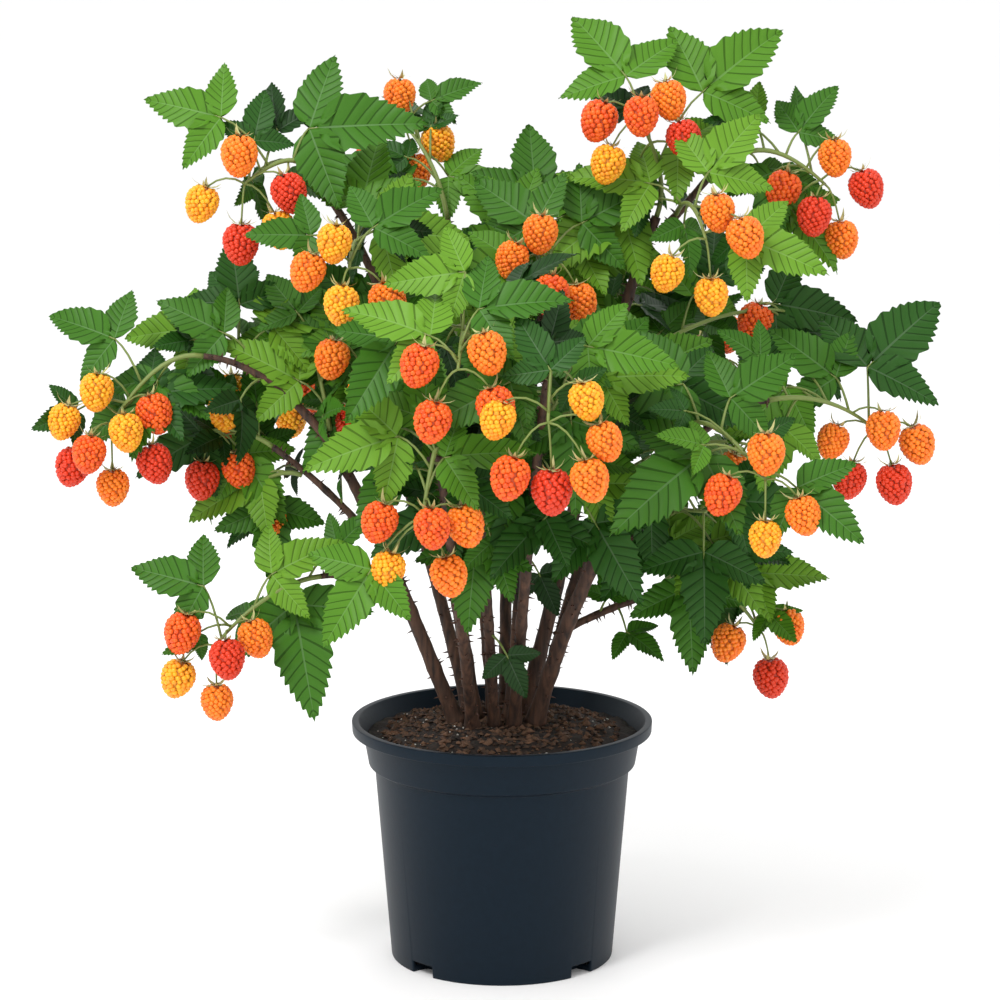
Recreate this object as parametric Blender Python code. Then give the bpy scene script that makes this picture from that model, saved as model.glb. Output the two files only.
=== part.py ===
"""A potted salmonberry: a nursery pot, its potting mix, leaning canes and the leafy shoots they carry.

Metres, +Z up. The origin is on the pot's axis where it meets the floor. A bearing runs round the pot,
0 towards -Y and 90 towards +X. A clock direction is read by someone who looks at a shoot from its facing
bearing, 12 up and 3 to the right.
"""

import math
import random
from collections import namedtuple

import bmesh
import bpy
from mathutils import Matrix, Vector
from mathutils.bvhtree import BVHTree

# Pot
POT_HEIGHT = 0.161
RIM_RADIUS = 0.100
RIM_INSIDE = 0.0955
RIM_ROUNDING = 0.002
LIP_HEIGHT = 0.0075
LIP_DRAFT = 0.0004
COLLAR_TOP_RADIUS = 0.0925
COLLAR_FOOT_RADIUS = 0.0888
COLLAR_FOOT = 0.131
COLLAR_STEP = 0.002
WALL_TOP_RADIUS = 0.0848
BASE_RADIUS = 0.0742
BASE_ROUNDING = 0.002
POT_WALL = 0.0028
POT_FLOOR = 0.004
POT_SEGMENTS = 40
POT_SHARP_ANGLE = 35
WELD = 1e-6
DRAIN_COUNT = 4
DRAIN_BEARING = 45
DRAIN_WIDTH = 0.018
DRAIN_HEIGHT = 0.008
DRAIN_DEPTH = 0.024

# Potting mix
MIX_EDGE = 0.150
MIX_CROWN = 0.158
MIX_FLAT_RADIUS = 0.052
MIX_SLOPE_RINGS = 1

# Colours, linear red, green and blue
PLASTIC_COLOUR = (0.020, 0.027, 0.035)
MIX_COLOUR = (0.035, 0.022, 0.014)
BARK_COLOUR = (0.060, 0.028, 0.018)
LEAF_COLOUR = (0.070, 0.200, 0.030)

# Gap between pieces that touch on the real plant
GAP = 0.0003

# Canes and boughs
LIMB_SIDES = 5
LIMB_RINGS = 8
BARK_SHARP_ANGLE = 50
FOOT_FLARE = 1.3
FOOT_FLARE_LENGTH = 0.018
LEAVING_PULL = 0.38
ARRIVING_PULL = 0.28

# Shoots
STEM_SIDES = 3
STEM_RINGS = 5
STEM_THICK = 0.0019
STEM_THIN = 0.0014
STEM_RISE = 0.5
STEM_DROOP = 0.5
FIRST_LEAF_SHARE = 0.22
LAST_LEAF_SHARE = 0.92
TWIG_SIDES = 3
TWIG_RADIUS = 0.0010
PETIOLE_LENGTH = 0.024
PETIOLE_SPREAD = 0.15
PETIOLE_SINK = 0.0035
PETIOLE_STEP = 0.4
PETIOLE_FORWARD = 0.25
PETIOLE_RISE = 0.35
LEAF_SHIFTS = (0, -0.009, 0.009, -0.018, 0.018, -0.027)
SHOOT_ROOM = 0.115

# Leaf of three leaflets; lengths are shares of the end leaflet's
LEAF_LENGTH = 0.056
LEAF_SIZES = {"s": 0.72, "": 1.0, "l": 1.28}
LEAF_SIZE_SPREAD = 0.10
LEAF_THICKNESS = 0.0018
LEAF_TILT = 32
LEAF_TILT_SPREAD = 12
LEAF_TURN_SPREAD = 16
LEAF_DROOP = 0.15
LEAFLET_NOTCH = (0.078, 0.066)
END_LEAFLET_WIDEST = (0.45, 0.25)
SIDE_LEAFLET = 0.72
SIDE_ANGLE = 70
SIDE_LEAFLET_INNER = (0.40, 0.21)
SIDE_LEAFLET_OUTER = (0.42, -0.26)
WIDEST_DROOP = 0.2
SIDE_DROOP = 0.1
SIDE_TIP_DROOP = 0.7

# Berry
BERRY_WIDTH = 0.0245
BERRY_HEIGHT = 0.0265
BERRY_SIDES = 6
BERRY_TOP = 0.46
BERRY_RINGS = ((-0.28, 0.47), (0.18, 0.49))
BERRY_SIZE_SPREAD = 0.06
RIPENESS_SIZE = {"y": 0.95, "o": 0.98, "c": 1.02, "r": 1.04}
TRUSS_RING = {1: 0.020, 2: 0.021, 3: 0.023, 4: 0.026, 5: 0.028}
WIDE_TRUSS_RING = 0.032
NEAR_SHARE = 0.45
NEAR_LIFT = 0.016
LIFT_SPREAD = 0.005
BERRY_CLEARANCE = 1.03
TRUSS_HANG = 0.010
BERRY_OUTWARD = 0.35
UPPER_ROOT_STEP = 0.3

# Least gap kept between growths, beyond GAP
CLEAR_MARGIN = 0.0004
SETTLING_STEPS = 24

# A cane starts at a foot on the mix; a bough starts at a share of its carrier. The tip is a bearing, a reach
# from the axis and a height. leave and arrive are the slopes in degrees at the two ends.
Limb = namedtuple("Limb", "name carrier share foot bearing reach height leave arrive thick thin")
LIMBS = (
    Limb("cane_left", None, 0, (266, 0.030), 286, 0.106, 0.335, 66, 60, 0.0052, 0.0034),
    Limb("cane_front_left", None, 0, (306, 0.024), 346, 0.160, 0.365, 62, 55, 0.0042, 0.0024),
    Limb("cane_top_left", None, 0, (235, 0.021), 289, 0.132, 0.530, 80, 46, 0.0046, 0.0022),
    Limb("cane_front", None, 0, (333, 0.011), 352, 0.150, 0.435, 66, 52, 0.0038, 0.0022),
    Limb("cane_inner", None, 0, (194, 0.025), 222, 0.054, 0.490, 84, 80, 0.0038, 0.0020),
    Limb("cane_middle", None, 0, (153, 0.009), 100, 0.030, 0.455, 84, 80, 0.0038, 0.0022),
    Limb("cane_tall", None, 0, (148, 0.026), 90, 0.100, 0.495, 74, 68, 0.0054, 0.0030),
    Limb("cane_front_right", None, 0, (42, 0.012), 10, 0.165, 0.425, 68, 52, 0.0042, 0.0022),
    Limb("cane_right", None, 0, (82, 0.022), 48, 0.150, 0.370, 70, 42, 0.0056, 0.0030),
    Limb("cane_back_left", None, 0, (218, 0.036), 222, 0.150, 0.385, 70, 50, 0.0046, 0.0024),
    Limb("cane_back", None, 0, (177, 0.037), 178, 0.130, 0.430, 74, 55, 0.0044, 0.0024),
    Limb("cane_back_right", None, 0, (145, 0.044), 136, 0.160, 0.395, 68, 48, 0.0046, 0.0024),
    Limb("arch_left", "cane_left", 1.0, None, 281, 0.195, 0.409, 60, 4, 0.0032, 0.0018),
    Limb("arch_low", "cane_left", 0.62, None, 272, 0.150, 0.345, 48, 34, 0.0026, 0.0018),
    Limb("low_left", "cane_left", 0.50, None, 294, 0.128, 0.268, 20, 0, 0.0024, 0.0018),
    Limb("tall_right", "cane_tall", 0.94, None, 90, 0.156, 0.536, 42, 14, 0.0028, 0.0018),
    Limb("right_out", "cane_right", 0.80, None, 70, 0.180, 0.384, 36, 4, 0.0024, 0.0018),
    Limb("right_up", "cane_right", 0.42, None, 84, 0.105, 0.298, 50, 34, 0.0024, 0.0018),
    Limb("low_right", "cane_tall", 0.13, None, 96, 0.130, 0.248, 32, 8, 0.0028, 0.0018),
)

# A shoot leaves its carrier at a share of it and ends at its truss, given like a limb's tip. leaves holds where
# each leaf points, as a clock direction, in order up the stem. A direction with > after it is its petiole's, where
# that differs; s is a small leaf and l a large one, and each p makes the petiole longer, each q shorter. fruit
# holds the clock direction of each berry round the truss, with its ripeness: y yellow, o orange, c coral, r red.
# A capital letter hangs near the middle, in front.
Shoot = namedtuple("Shoot", "name carrier share bearing reach height facing leaves fruit")
SHOOTS = (
    Shoot("left_end", "arch_left", 1.0, 281, 0.255, 0.357, 0,
          "7>6.3 10.5>10p 2.5", "9.7y 11.5y 2c 2Y 8C 7.8r 4r 6o"),
    Shoot("top_left", "cane_top_left", 1.0, 290, 0.172, 0.511, 0,
          "1>3l 10>9.6pp 12.4s", "8.8y 11.8o 2.8r 6.2r 4.3y"),
    Shoot("top_right", "cane_tall", 1.0, 71, 0.093, 0.550, 0,
          "7.5l 1.4>1.5lppp 4 11>11lp", "9.6c 1.3o 12C 3.2r 7.6y"),
    Shoot("right_top_end", "tall_right", 1.0, 90, 0.209, 0.506, 0,
          "11>10s 1sq 8>6 7>5", "9.4c 7.4R 2.5r 12.4o 5.2o"),
    Shoot("right_end", "right_out", 1.0, 83, 0.243, 0.350, 0,
          "6.5 9>7.5 11>10.5 12>1.3lpp", "9.2o 12.5O 3o 7.2r 5.1r"),
    Shoot("low_left_end", "low_left", 1.0, 294, 0.200, 0.219, 0,
          "6>5.7lq 1>2 11>9.7p", "10.4c 2o 2R 8.1y 6o"),
    Shoot("low_right_end", "low_right", 1.0, 97, 0.175, 0.205, 0,
          "12 1>3.2 11s", "9.3o 1.7o 5.4r"),
    Shoot("centre", "cane_front", 1.0, 353, 0.212, 0.414, 0,
          "8>7pp 12>8.8p 1>2.8 10", "9.9c 1.4o 4c 7.2c"),
    Shoot("centre_right", "cane_front_right", 1.0, 7, 0.222, 0.384, 0,
          "3.5 8 12>11s", "9.7y 1.5y 3.4o 7.5c 5.8r 4.2o"),
    Shoot("centre_low", "cane_front_left", 1.0, 345, 0.187, 0.316, 0,
          "11>12 10>8.3 1>2.9 7pp", "9.8c 1.1C 2.4o 7.6y 4.8o"),
    Shoot("right_mid", "cane_right", 1.0, 45, 0.226, 0.340, 0,
          "11>8.6l 1>1.8 8>7.4l 4.5", "12o 9c 6y 3.9o"),
    Shoot("left_inner", "arch_low", 1.0, 270, 0.190, 0.345, 0, "12s 8 5", "6.5r 4.5c 12.7y"),
    Shoot("top_left_low", "cane_top_left", 0.80, 322, 0.152, 0.464, 0,
          "12 3 9s 1.5", "9.7o 6.7Y 3.8o 11.2y"),
    Shoot("top_mid_left", "cane_inner", 1.0, 224, 0.098, 0.543, 0,
          "9l 5>4 2s", "12o 7.6r 3.4y 5.2o"),
    Shoot("mid_upper", "cane_middle", 1.0, 31, 0.060, 0.463, 0, "9 3 2 10.5 8", "9.8o 6C 4.5o 11.4o"),
    Shoot("right_upper", "tall_right", 0.15, 46, 0.173, 0.482, 0, "9.5 1 4", "12.7o 2o 8.2y 5.7y"),
    Shoot("left_up", "arch_left", 0.62, 268, 0.178, 0.416, 0, "10 2 12 9", ""),
    Shoot("left_mid", "arch_left", 0.12, 276, 0.125, 0.420, 0, "10 1 3 11s", ""),
    Shoot("left_low", "arch_low", 0.55, 268, 0.165, 0.305, 0, "8 6 10s", "4.5o"),
    Shoot("inner_left", "cane_top_left", 0.50, 292, 0.105, 0.388, 0, "9 1 7 11 4 2", "5.8r 3.2O 11o"),
    Shoot("top_mid", "cane_middle", 0.92, 160, 0.060, 0.490, 0, "9 3 10.5 2 12 5", ""),
    Shoot("right_far_up", "cane_tall", 0.62, 100, 0.190, 0.420, 0, "10 1 11.8 3.3 5", "9.2c"),
    Shoot("right_inner", "cane_tall", 0.50, 52, 0.115, 0.410, 0, "9 2 11 4 7", ""),
    Shoot("right_low", "right_up", 1.0, 70, 0.140, 0.310, 0, "7 5 8.5 3 6", ""),
    Shoot("low_right_leaves", "low_right", 0.70, 74, 0.138, 0.278, 0, "12 6q 3s", ""),
    Shoot("low_centre", "cane_front", 0.46, 352, 0.105, 0.322, 0, "6 8 4 5.5s", ""),
    Shoot("mid_front", "cane_front_right", 0.75, 20, 0.125, 0.405, 0, "9 11 1 3 6", ""),
    Shoot("mid_low", "cane_front_right", 0.52, 24, 0.115, 0.335, 0, "9 3 11 1 5 7", ""),
    Shoot("mid_left", "cane_front", 0.70, 336, 0.105, 0.370, 0, "9 11 1 3 7", ""),
    Shoot("inner_high", "cane_inner", 0.72, 300, 0.060, 0.440, 0, "9 11 1 3 6", ""),
    Shoot("left_back", "cane_back_left", 0.72, 255, 0.185, 0.350, 240, "9 3 12 6", "7o 4r 12y"),
    Shoot("back_left", "cane_back_left", 1.0, 224, 0.215, 0.365, 215, "9 2 11 5 7.5", "8c 4o 6y 1r"),
    Shoot("back_left_top", "cane_back_left", 0.85, 212, 0.130, 0.450, 200, "9 1.5 11 4 7", ""),
    Shoot("back", "cane_back", 1.0, 180, 0.205, 0.405, 180, "9.5 3 12 7 5", "9y 3o 6r 11c"),
    Shoot("back_top", "cane_back", 0.85, 168, 0.100, 0.470, 175, "10 2 12 4 8", ""),
    Shoot("back_low", "cane_back", 0.45, 192, 0.165, 0.300, 185, "9 3 11 6 1", "7y 5c"),
    Shoot("back_right", "cane_back_right", 1.0, 136, 0.225, 0.370, 140, "9 3 11 5 7", "8r 4y 6o 12c 2o"),
    Shoot("back_right_top", "cane_back_right", 0.80, 145, 0.130, 0.460, 160, "10 2 12 8 4", ""),
    Shoot("right_back", "cane_back_right", 0.55, 112, 0.180, 0.325, 115, "9 2 12 6 4", "7c 4o"),
)


# Directions and curves


def place(bearing, reach, height):
    angle = math.radians(bearing)
    return Vector((reach * math.sin(angle), -reach * math.cos(angle), height))


def clock_direction(clock, facing):
    """The direction a clock hand points, seen by someone who looks at the plant from the facing bearing."""
    angle = math.radians(30 * clock)
    right = place(facing + 90, 1, 0)
    return right * math.sin(angle) + Vector((0, 0, math.cos(angle)))


def sloped(start, end, slope):
    """The direction that heads from start towards end at this slope in degrees."""
    heading = Vector((end.x - start.x, end.y - start.y, 0)).normalized()
    return heading * math.cos(math.radians(slope)) + Vector((0, 0, math.sin(math.radians(slope))))


def arc_points(start, leaving, end, arriving, count):
    """Points along one smooth bend from start to end."""
    reach = (end - start).length
    near = start + leaving * reach * LEAVING_PULL
    far = end - arriving * reach * ARRIVING_PULL
    points = []
    for step in range(count):
        t = step / (count - 1)
        u = 1 - t
        points.append(start * u**3 + near * 3 * u * u * t + far * 3 * u * t * t + end * t**3)
    return points


def at_share(points, share):
    """The place and direction at a share of the way along points."""
    spot = share * (len(points) - 1)
    step = min(int(spot), len(points) - 2)
    direction = (points[step + 1] - points[step]).normalized()
    return points[step].lerp(points[step + 1], spot - step), direction


# Closed shapes, each as (points, faces); a growth's faces are those of its head and of its stalk


Growth = namedtuple("Growth", "verts head stalk")


def tube(points, radii, sides, foot_normal=None):
    """A round bar through points, with flat ends; foot_normal turns the first end's cut."""
    verts, faces = [], []
    across = None
    for number, centre in enumerate(points):
        ahead = points[min(number + 1, len(points) - 1)] - points[max(number - 1, 0)]
        normal = ahead.normalized()
        if foot_normal and number == 0:
            normal = foot_normal
        across = across if across else normal.orthogonal()
        across = (across - normal * across.dot(normal)).normalized()
        beside = normal.cross(across)
        for side in range(sides):
            angle = 2 * math.pi * side / sides
            verts.append(centre + (across * math.cos(angle) + beside * math.sin(angle)) * radii[number])
    for ring in range(len(points) - 1):
        for side in range(sides):
            a = ring * sides + side
            b = ring * sides + (side + 1) % sides
            faces.append((a, b, b + sides, a + sides))
    faces.append(tuple(reversed(range(sides))))
    faces.append(tuple(range(len(verts) - sides, len(verts))))
    return verts, faces


def leaf_outline():
    """Outline of the three leaflets round the leaf's centre, as (along, across, droop share)."""
    side = math.radians(SIDE_ANGLE)
    along = Vector((math.cos(side), math.sin(side))) * SIDE_LEAFLET
    across = Vector((math.sin(side), -math.cos(side))) * SIDE_LEAFLET
    inner = along * SIDE_LEAFLET_INNER[0] + across * SIDE_LEAFLET_INNER[1]
    outer = along * SIDE_LEAFLET_OUTER[0] + across * SIDE_LEAFLET_OUTER[1]
    right = [(*END_LEAFLET_WIDEST, WIDEST_DROOP), (*LEAFLET_NOTCH, 0), (*inner, SIDE_DROOP),
             (*along, SIDE_TIP_DROOP), (*outer, SIDE_DROOP)]
    left = [(x, -y, droop) for x, y, droop in reversed(right)]
    return [(1, 0, 1), *right, *left]


def leaf_shape(root, centre, pointing, normal, length):
    """A thin plate in the outline of three leaflets, thickest at its centre, on a three-sided petiole."""
    beside = normal.cross(pointing)
    outline = leaf_outline()
    base = centre - pointing * PETIOLE_SINK
    along = (base - root).normalized()
    left = (beside - along * beside.dot(along)).normalized() * TWIG_RADIUS
    below = left.cross(along)
    ring = (left, -left, below)
    verts = [centre + normal * LEAF_THICKNESS / 2, centre - normal * LEAF_THICKNESS / 2]
    for forward, across, droop in outline:
        verts.append(centre + (pointing * forward + beside * across - normal * droop * LEAF_DROOP) * length)
    verts += [base + spoke for spoke in ring] + [root + spoke for spoke in ring]
    first, last = 2, 1 + len(outline)
    left_foot, right_foot, low_foot = last + 1, last + 2, last + 3
    rim = [*range(first, last + 1)]
    half = len(rim) // 2
    top_rim = rim[half + 1:] + rim[:half + 1]
    blade = []
    for a, b in zip(top_rim, top_rim[1:]):
        blade += [(0, a, b), (1, b, a)]
    blade += [(0, top_rim[-1], left_foot), (0, left_foot, right_foot), (0, right_foot, top_rim[0])]
    blade += [(1, left_foot, top_rim[-1]), (1, low_foot, left_foot), (1, right_foot, low_foot)]
    blade.append((1, top_rim[0], right_foot))
    stalk = [(left_foot + 3, low_foot + 3, right_foot + 3)]
    for a, b in ((left_foot, low_foot), (low_foot, right_foot), (right_foot, left_foot)):
        stalk.append((a, b, b + 3, a + 3))
    return Growth(verts, blade, stalk)


def berry_shape(root, centre, axis, size):
    """A blunt egg on a three-sided pedicel; the egg's narrow end points along axis."""
    top = centre - axis * BERRY_HEIGHT * BERRY_TOP * size
    along = (top - root).normalized()
    across = (axis.orthogonal() - along * axis.orthogonal().dot(along)).normalized()
    verts = []
    for spot in (root, top):
        for side in range(TWIG_SIDES):
            angle = 2 * math.pi * side / TWIG_SIDES
            spoke = across * math.cos(angle) + along.cross(across) * math.sin(angle)
            verts.append(spot + spoke * TWIG_RADIUS)
    across = (across - axis * across.dot(axis)).normalized()
    for forward, width in BERRY_RINGS:
        for side in range(BERRY_SIDES):
            angle = 2 * math.pi * side / BERRY_SIDES
            spoke = across * math.cos(angle) + axis.cross(across) * math.sin(angle)
            verts.append(centre + (spoke * BERRY_WIDTH * width + axis * BERRY_HEIGHT * forward) * size)
    verts.append(centre + axis * BERRY_HEIGHT * (1 - BERRY_TOP) * size)
    stalk = [(2, 1, 0)]
    egg = []
    for side in range(TWIG_SIDES):
        a, b = side, (side + 1) % TWIG_SIDES
        stalk.append((a, b, b + 3, a + 3))
        shoulder = 6 + 2 * side
        egg += [(a + 3, shoulder + 1, shoulder), (a + 3, b + 3, shoulder + 1)]
        egg.append((b + 3, 6 + (2 * side + 2) % BERRY_SIDES, shoulder + 1))
    for side in range(BERRY_SIDES):
        a, b = 6 + side, 6 + (side + 1) % BERRY_SIDES
        egg.append((a, b, b + BERRY_SIDES, a + BERRY_SIDES))
        egg.append((a + BERRY_SIDES, b + BERRY_SIDES, len(verts) - 1))
    return Growth(verts, egg, stalk)


# Blender objects


def material(name, colour, roughness):
    made = bpy.data.materials.new(name)
    made.use_nodes = True
    shader = made.node_tree.nodes["Principled BSDF"]
    shader.inputs["Base Color"].default_value = (*colour, 1)
    shader.inputs["Roughness"].default_value = roughness
    shader.inputs["Metallic"].default_value = 0
    return made


def mesh_object(name, verts, faces, finish, collection=None):
    mesh = bpy.data.meshes.new(name)
    mesh.from_pydata([tuple(v) for v in verts], [], faces)
    mesh.materials.append(finish)
    made = bpy.data.objects.new(name, mesh)
    (collection or bpy.context.scene.collection).objects.link(made)
    return made


def turned(name, profile, finish):
    """A solid turned round the Z axis from a closed profile of (radius, height), outer side first."""
    shape = bmesh.new()
    verts = [shape.verts.new((radius, 0, height)) for radius, height in profile]
    edges = [shape.edges.new(pair) for pair in zip(verts, verts[1:])]
    bmesh.ops.spin(shape, geom=verts + edges, cent=(0, 0, 0), axis=(0, 0, 1), angle=2 * math.pi,
                   steps=POT_SEGMENTS, use_merge=True)
    bmesh.ops.remove_doubles(shape, verts=shape.verts, dist=WELD)
    bmesh.ops.recalc_face_normals(shape, faces=shape.faces)
    mesh = bpy.data.meshes.new(name)
    shape.to_mesh(mesh)
    shape.free()
    mesh.materials.append(finish)
    mesh.shade_smooth()
    mesh.set_sharp_from_angle(angle=math.radians(POT_SHARP_ANGLE))
    made = bpy.data.objects.new(name, mesh)
    bpy.context.scene.collection.objects.link(made)
    return made


# Pot and potting mix


def wall_radius(height):
    """Outer radius of the pot's tapering wall below the collar."""
    share = height / COLLAR_FOOT
    return BASE_RADIUS + (WALL_TOP_RADIUS - BASE_RADIUS) * share


def inner_radius(height):
    """Inner radius of the pot at a height, from the floor up to the lip."""
    if height < COLLAR_FOOT:
        return wall_radius(height) - POT_WALL
    share = (height - COLLAR_FOOT) / (POT_HEIGHT - COLLAR_FOOT)
    foot = WALL_TOP_RADIUS - POT_WALL
    return foot + (RIM_INSIDE - foot) * share


def make_pot():
    lip_foot = POT_HEIGHT - LIP_HEIGHT
    profile = [
        (0, 0),
        (BASE_RADIUS - BASE_ROUNDING, 0),
        (wall_radius(BASE_ROUNDING), BASE_ROUNDING),
        (WALL_TOP_RADIUS, COLLAR_FOOT - COLLAR_STEP / 2),
        (COLLAR_FOOT_RADIUS, COLLAR_FOOT + COLLAR_STEP / 2),
        (COLLAR_TOP_RADIUS, lip_foot),
        (RIM_RADIUS - LIP_DRAFT, lip_foot),
        (RIM_RADIUS, POT_HEIGHT - RIM_ROUNDING),
        (RIM_RADIUS - RIM_ROUNDING, POT_HEIGHT),
        (inner_radius(POT_HEIGHT), POT_HEIGHT),
        (inner_radius(COLLAR_FOOT), COLLAR_FOOT),
        (inner_radius(POT_FLOOR), POT_FLOOR),
        (0, POT_FLOOR),
    ]
    pot = turned("pot", profile, material("pot_plastic", PLASTIC_COLOUR, 0.45))
    for number in range(DRAIN_COUNT):
        bearing = DRAIN_BEARING + number * 360 / DRAIN_COUNT
        cutter = drain_cutter(f"drain_cutter_{number + 1}", bearing)
        cut = pot.modifiers.new(f"drain_{number + 1}", "BOOLEAN")
        cut.operation = "DIFFERENCE"
        cut.object = cutter


def drain_cutter(name, bearing):
    """The box that opens one drain notch through the foot of the pot's wall."""
    shape = bmesh.new()
    size = Matrix.Diagonal((DRAIN_WIDTH, DRAIN_DEPTH, DRAIN_HEIGHT * 2, 1))
    bmesh.ops.create_cube(shape, size=1, matrix=size)
    mesh = bpy.data.meshes.new(name)
    shape.to_mesh(mesh)
    shape.free()
    cutter = bpy.data.objects.new(name, mesh)
    cutter.location = place(bearing, BASE_RADIUS, 0)
    cutter.rotation_euler.z = math.radians(bearing)
    cutter.hide_render = True
    cutter.display_type = "WIRE"
    bpy.context.scene.collection.objects.link(cutter)
    return cutter


def make_mix():
    """The potting mix, a little mounded, with a flat crown where the canes stand."""
    foot = POT_FLOOR + GAP
    slope = []
    for ring in range(MIX_SLOPE_RINGS + 1):
        share = ring / MIX_SLOPE_RINGS
        radius = inner_radius(MIX_EDGE) - GAP - share * (inner_radius(MIX_EDGE) - GAP - MIX_FLAT_RADIUS)
        drop = (MIX_CROWN - MIX_EDGE) * (1 + math.cos(math.pi * share)) / 2
        slope.append((radius, MIX_CROWN - drop))
    profile = [
        (0, foot),
        (inner_radius(foot) - GAP, foot),
        (inner_radius(COLLAR_FOOT) - GAP, COLLAR_FOOT),
        *slope,
        (0, MIX_CROWN),
    ]
    turned("potting_mix", profile, material("potting_mix", MIX_COLOUR, 0.95))


# Canes and boughs


def side_start(carrier, share, target, slope, radius):
    """Where a side limb starts, just clear of its carrier's bark, and the direction it leaves in."""
    points, radii = carrier
    centre, along = at_share(points, share)
    leaving = sloped(centre, target, slope)
    if share == 1:
        return centre + along * GAP, along
    thickness = radii[0] + (radii[1] - radii[0]) * share
    cosine = abs(leaving.dot(along))
    sine = math.sqrt(1 - cosine * cosine)
    return centre + leaving * (thickness + GAP * 2 + radius * cosine) / sine, leaving


def limb_points(limb, limbs):
    """The points along a limb's middle."""
    tip = place(limb.bearing, limb.reach, limb.height)
    if limb.carrier:
        start, leaving = side_start(limbs[limb.carrier], limb.share, tip, limb.leave, limb.thick)
    else:
        start = place(*limb.foot, MIX_CROWN + GAP)
        leaving = sloped(start, tip, limb.leave)
    return arc_points(start, leaving, tip, sloped(start, tip, limb.arrive), LIMB_RINGS)


def limb_shape(limb, points, limbs):
    radii = []
    for number, point in enumerate(points):
        share = number / (len(points) - 1)
        flare = 0
        if not limb.carrier:
            flare = (FOOT_FLARE - 1) * max(0, 1 - (point - points[0]).length / FOOT_FLARE_LENGTH)
        radii.append((limb.thick + (limb.thin - limb.thick) * share) * (1 + flare))
    foot_normal = end_direction(limbs, limb) if limb.carrier else Vector((0, 0, 1))
    return tube(points, radii, LIMB_SIDES, foot_normal)


def end_direction(limbs, branch):
    """The direction of the limb that a branch carries on from its tip, or None for a branch at its side."""
    if branch.share < 1:
        return None
    return at_share(limbs[branch.carrier][0], 1)[1]


def make_limbs():
    """Each limb's middle line and end radii by name, and a search tree of each surface."""
    bark = material("cane_bark", BARK_COLOUR, 0.8)
    limbs, surfaces = {}, []
    for limb in LIMBS:
        points = limb_points(limb, limbs)
        limbs[limb.name] = (points, (limb.thick, limb.thin))
        verts, faces = limb_shape(limb, points, limbs)
        made = mesh_object(limb.name, verts, faces, bark)
        made.data.shade_smooth()
        made.data.set_sharp_from_angle(angle=math.radians(BARK_SHARP_ANGLE))
        surfaces.append(BVHTree.FromPolygons(verts, faces))
    return limbs, surfaces


# Shoots


def shoot_points(shoot, limbs):
    """The points along a shoot's stem, from just off its limb to the place its fruit hangs from."""
    tip = place(shoot.bearing, shoot.reach, shoot.height)
    if shoot.fruit:
        tip.z += TRUSS_HANG
    carrier = limbs[shoot.carrier]
    centre, along = at_share(carrier[0], shoot.share)
    rising = (tip - centre).normalized() + Vector((0, 0, STEM_RISE))
    slope = math.degrees(math.asin(rising.normalized().z))
    start, leaving = side_start(carrier, shoot.share, tip, slope, STEM_THICK)
    arriving = (tip - start).normalized()
    if shoot.fruit:
        arriving = (arriving - Vector((0, 0, STEM_DROOP))).normalized()
    return arc_points(start, leaving, tip, arriving, STEM_RINGS)


def read_token(token):
    """A stalk's clock direction, the growth's own, and the letters after them."""
    clocks = token.rstrip("".join(c for c in token if c.isalpha()))
    stalk, _, own = clocks.rpartition(">")
    return float(stalk or own), float(own), token[len(clocks):]


def leaf_places(shoot, points, shift=0):
    """For each leaf: where its petiole leaves the stem, the leaf's centre, pointing, normal and length."""
    tokens = shoot.leaves.split()
    places = []
    for number, token in enumerate(tokens):
        stalk_clock, clock, letters = read_token(token)
        draw = random.Random(f"{shoot.name} leaf {number}")
        spread = LAST_LEAF_SHARE - FIRST_LEAF_SHARE
        share = FIRST_LEAF_SHARE + spread * number / max(1, len(tokens) - 1)
        root = at_share(points, share)[0]
        towards = place(shoot.facing + draw.uniform(-1, 1) * LEAF_TURN_SPREAD, 1, 0)
        tilt = math.radians(LEAF_TILT + draw.uniform(-1, 1) * LEAF_TILT_SPREAD)
        normal = towards * math.cos(tilt) + Vector((0, 0, math.sin(tilt)))
        stalk = clock_direction(stalk_clock, shoot.facing) + towards * PETIOLE_FORWARD
        stalk = (stalk + Vector((0, 0, PETIOLE_RISE))).normalized() * PETIOLE_LENGTH
        steps = letters.count("p") - letters.count("q")
        stalk *= (1 + PETIOLE_STEP * steps) * (1 + draw.uniform(-1, 1) * PETIOLE_SPREAD)
        pointing = clock_direction(clock, shoot.facing)
        pointing = (pointing - normal * pointing.dot(normal)).normalized()
        size = LEAF_SIZES[letters.strip("pq")]
        length = LEAF_LENGTH * size * (1 + draw.uniform(-1, 1) * LEAF_SIZE_SPREAD)
        places.append((root, root + stalk + towards * shift, pointing, normal, length))
    return places


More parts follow.
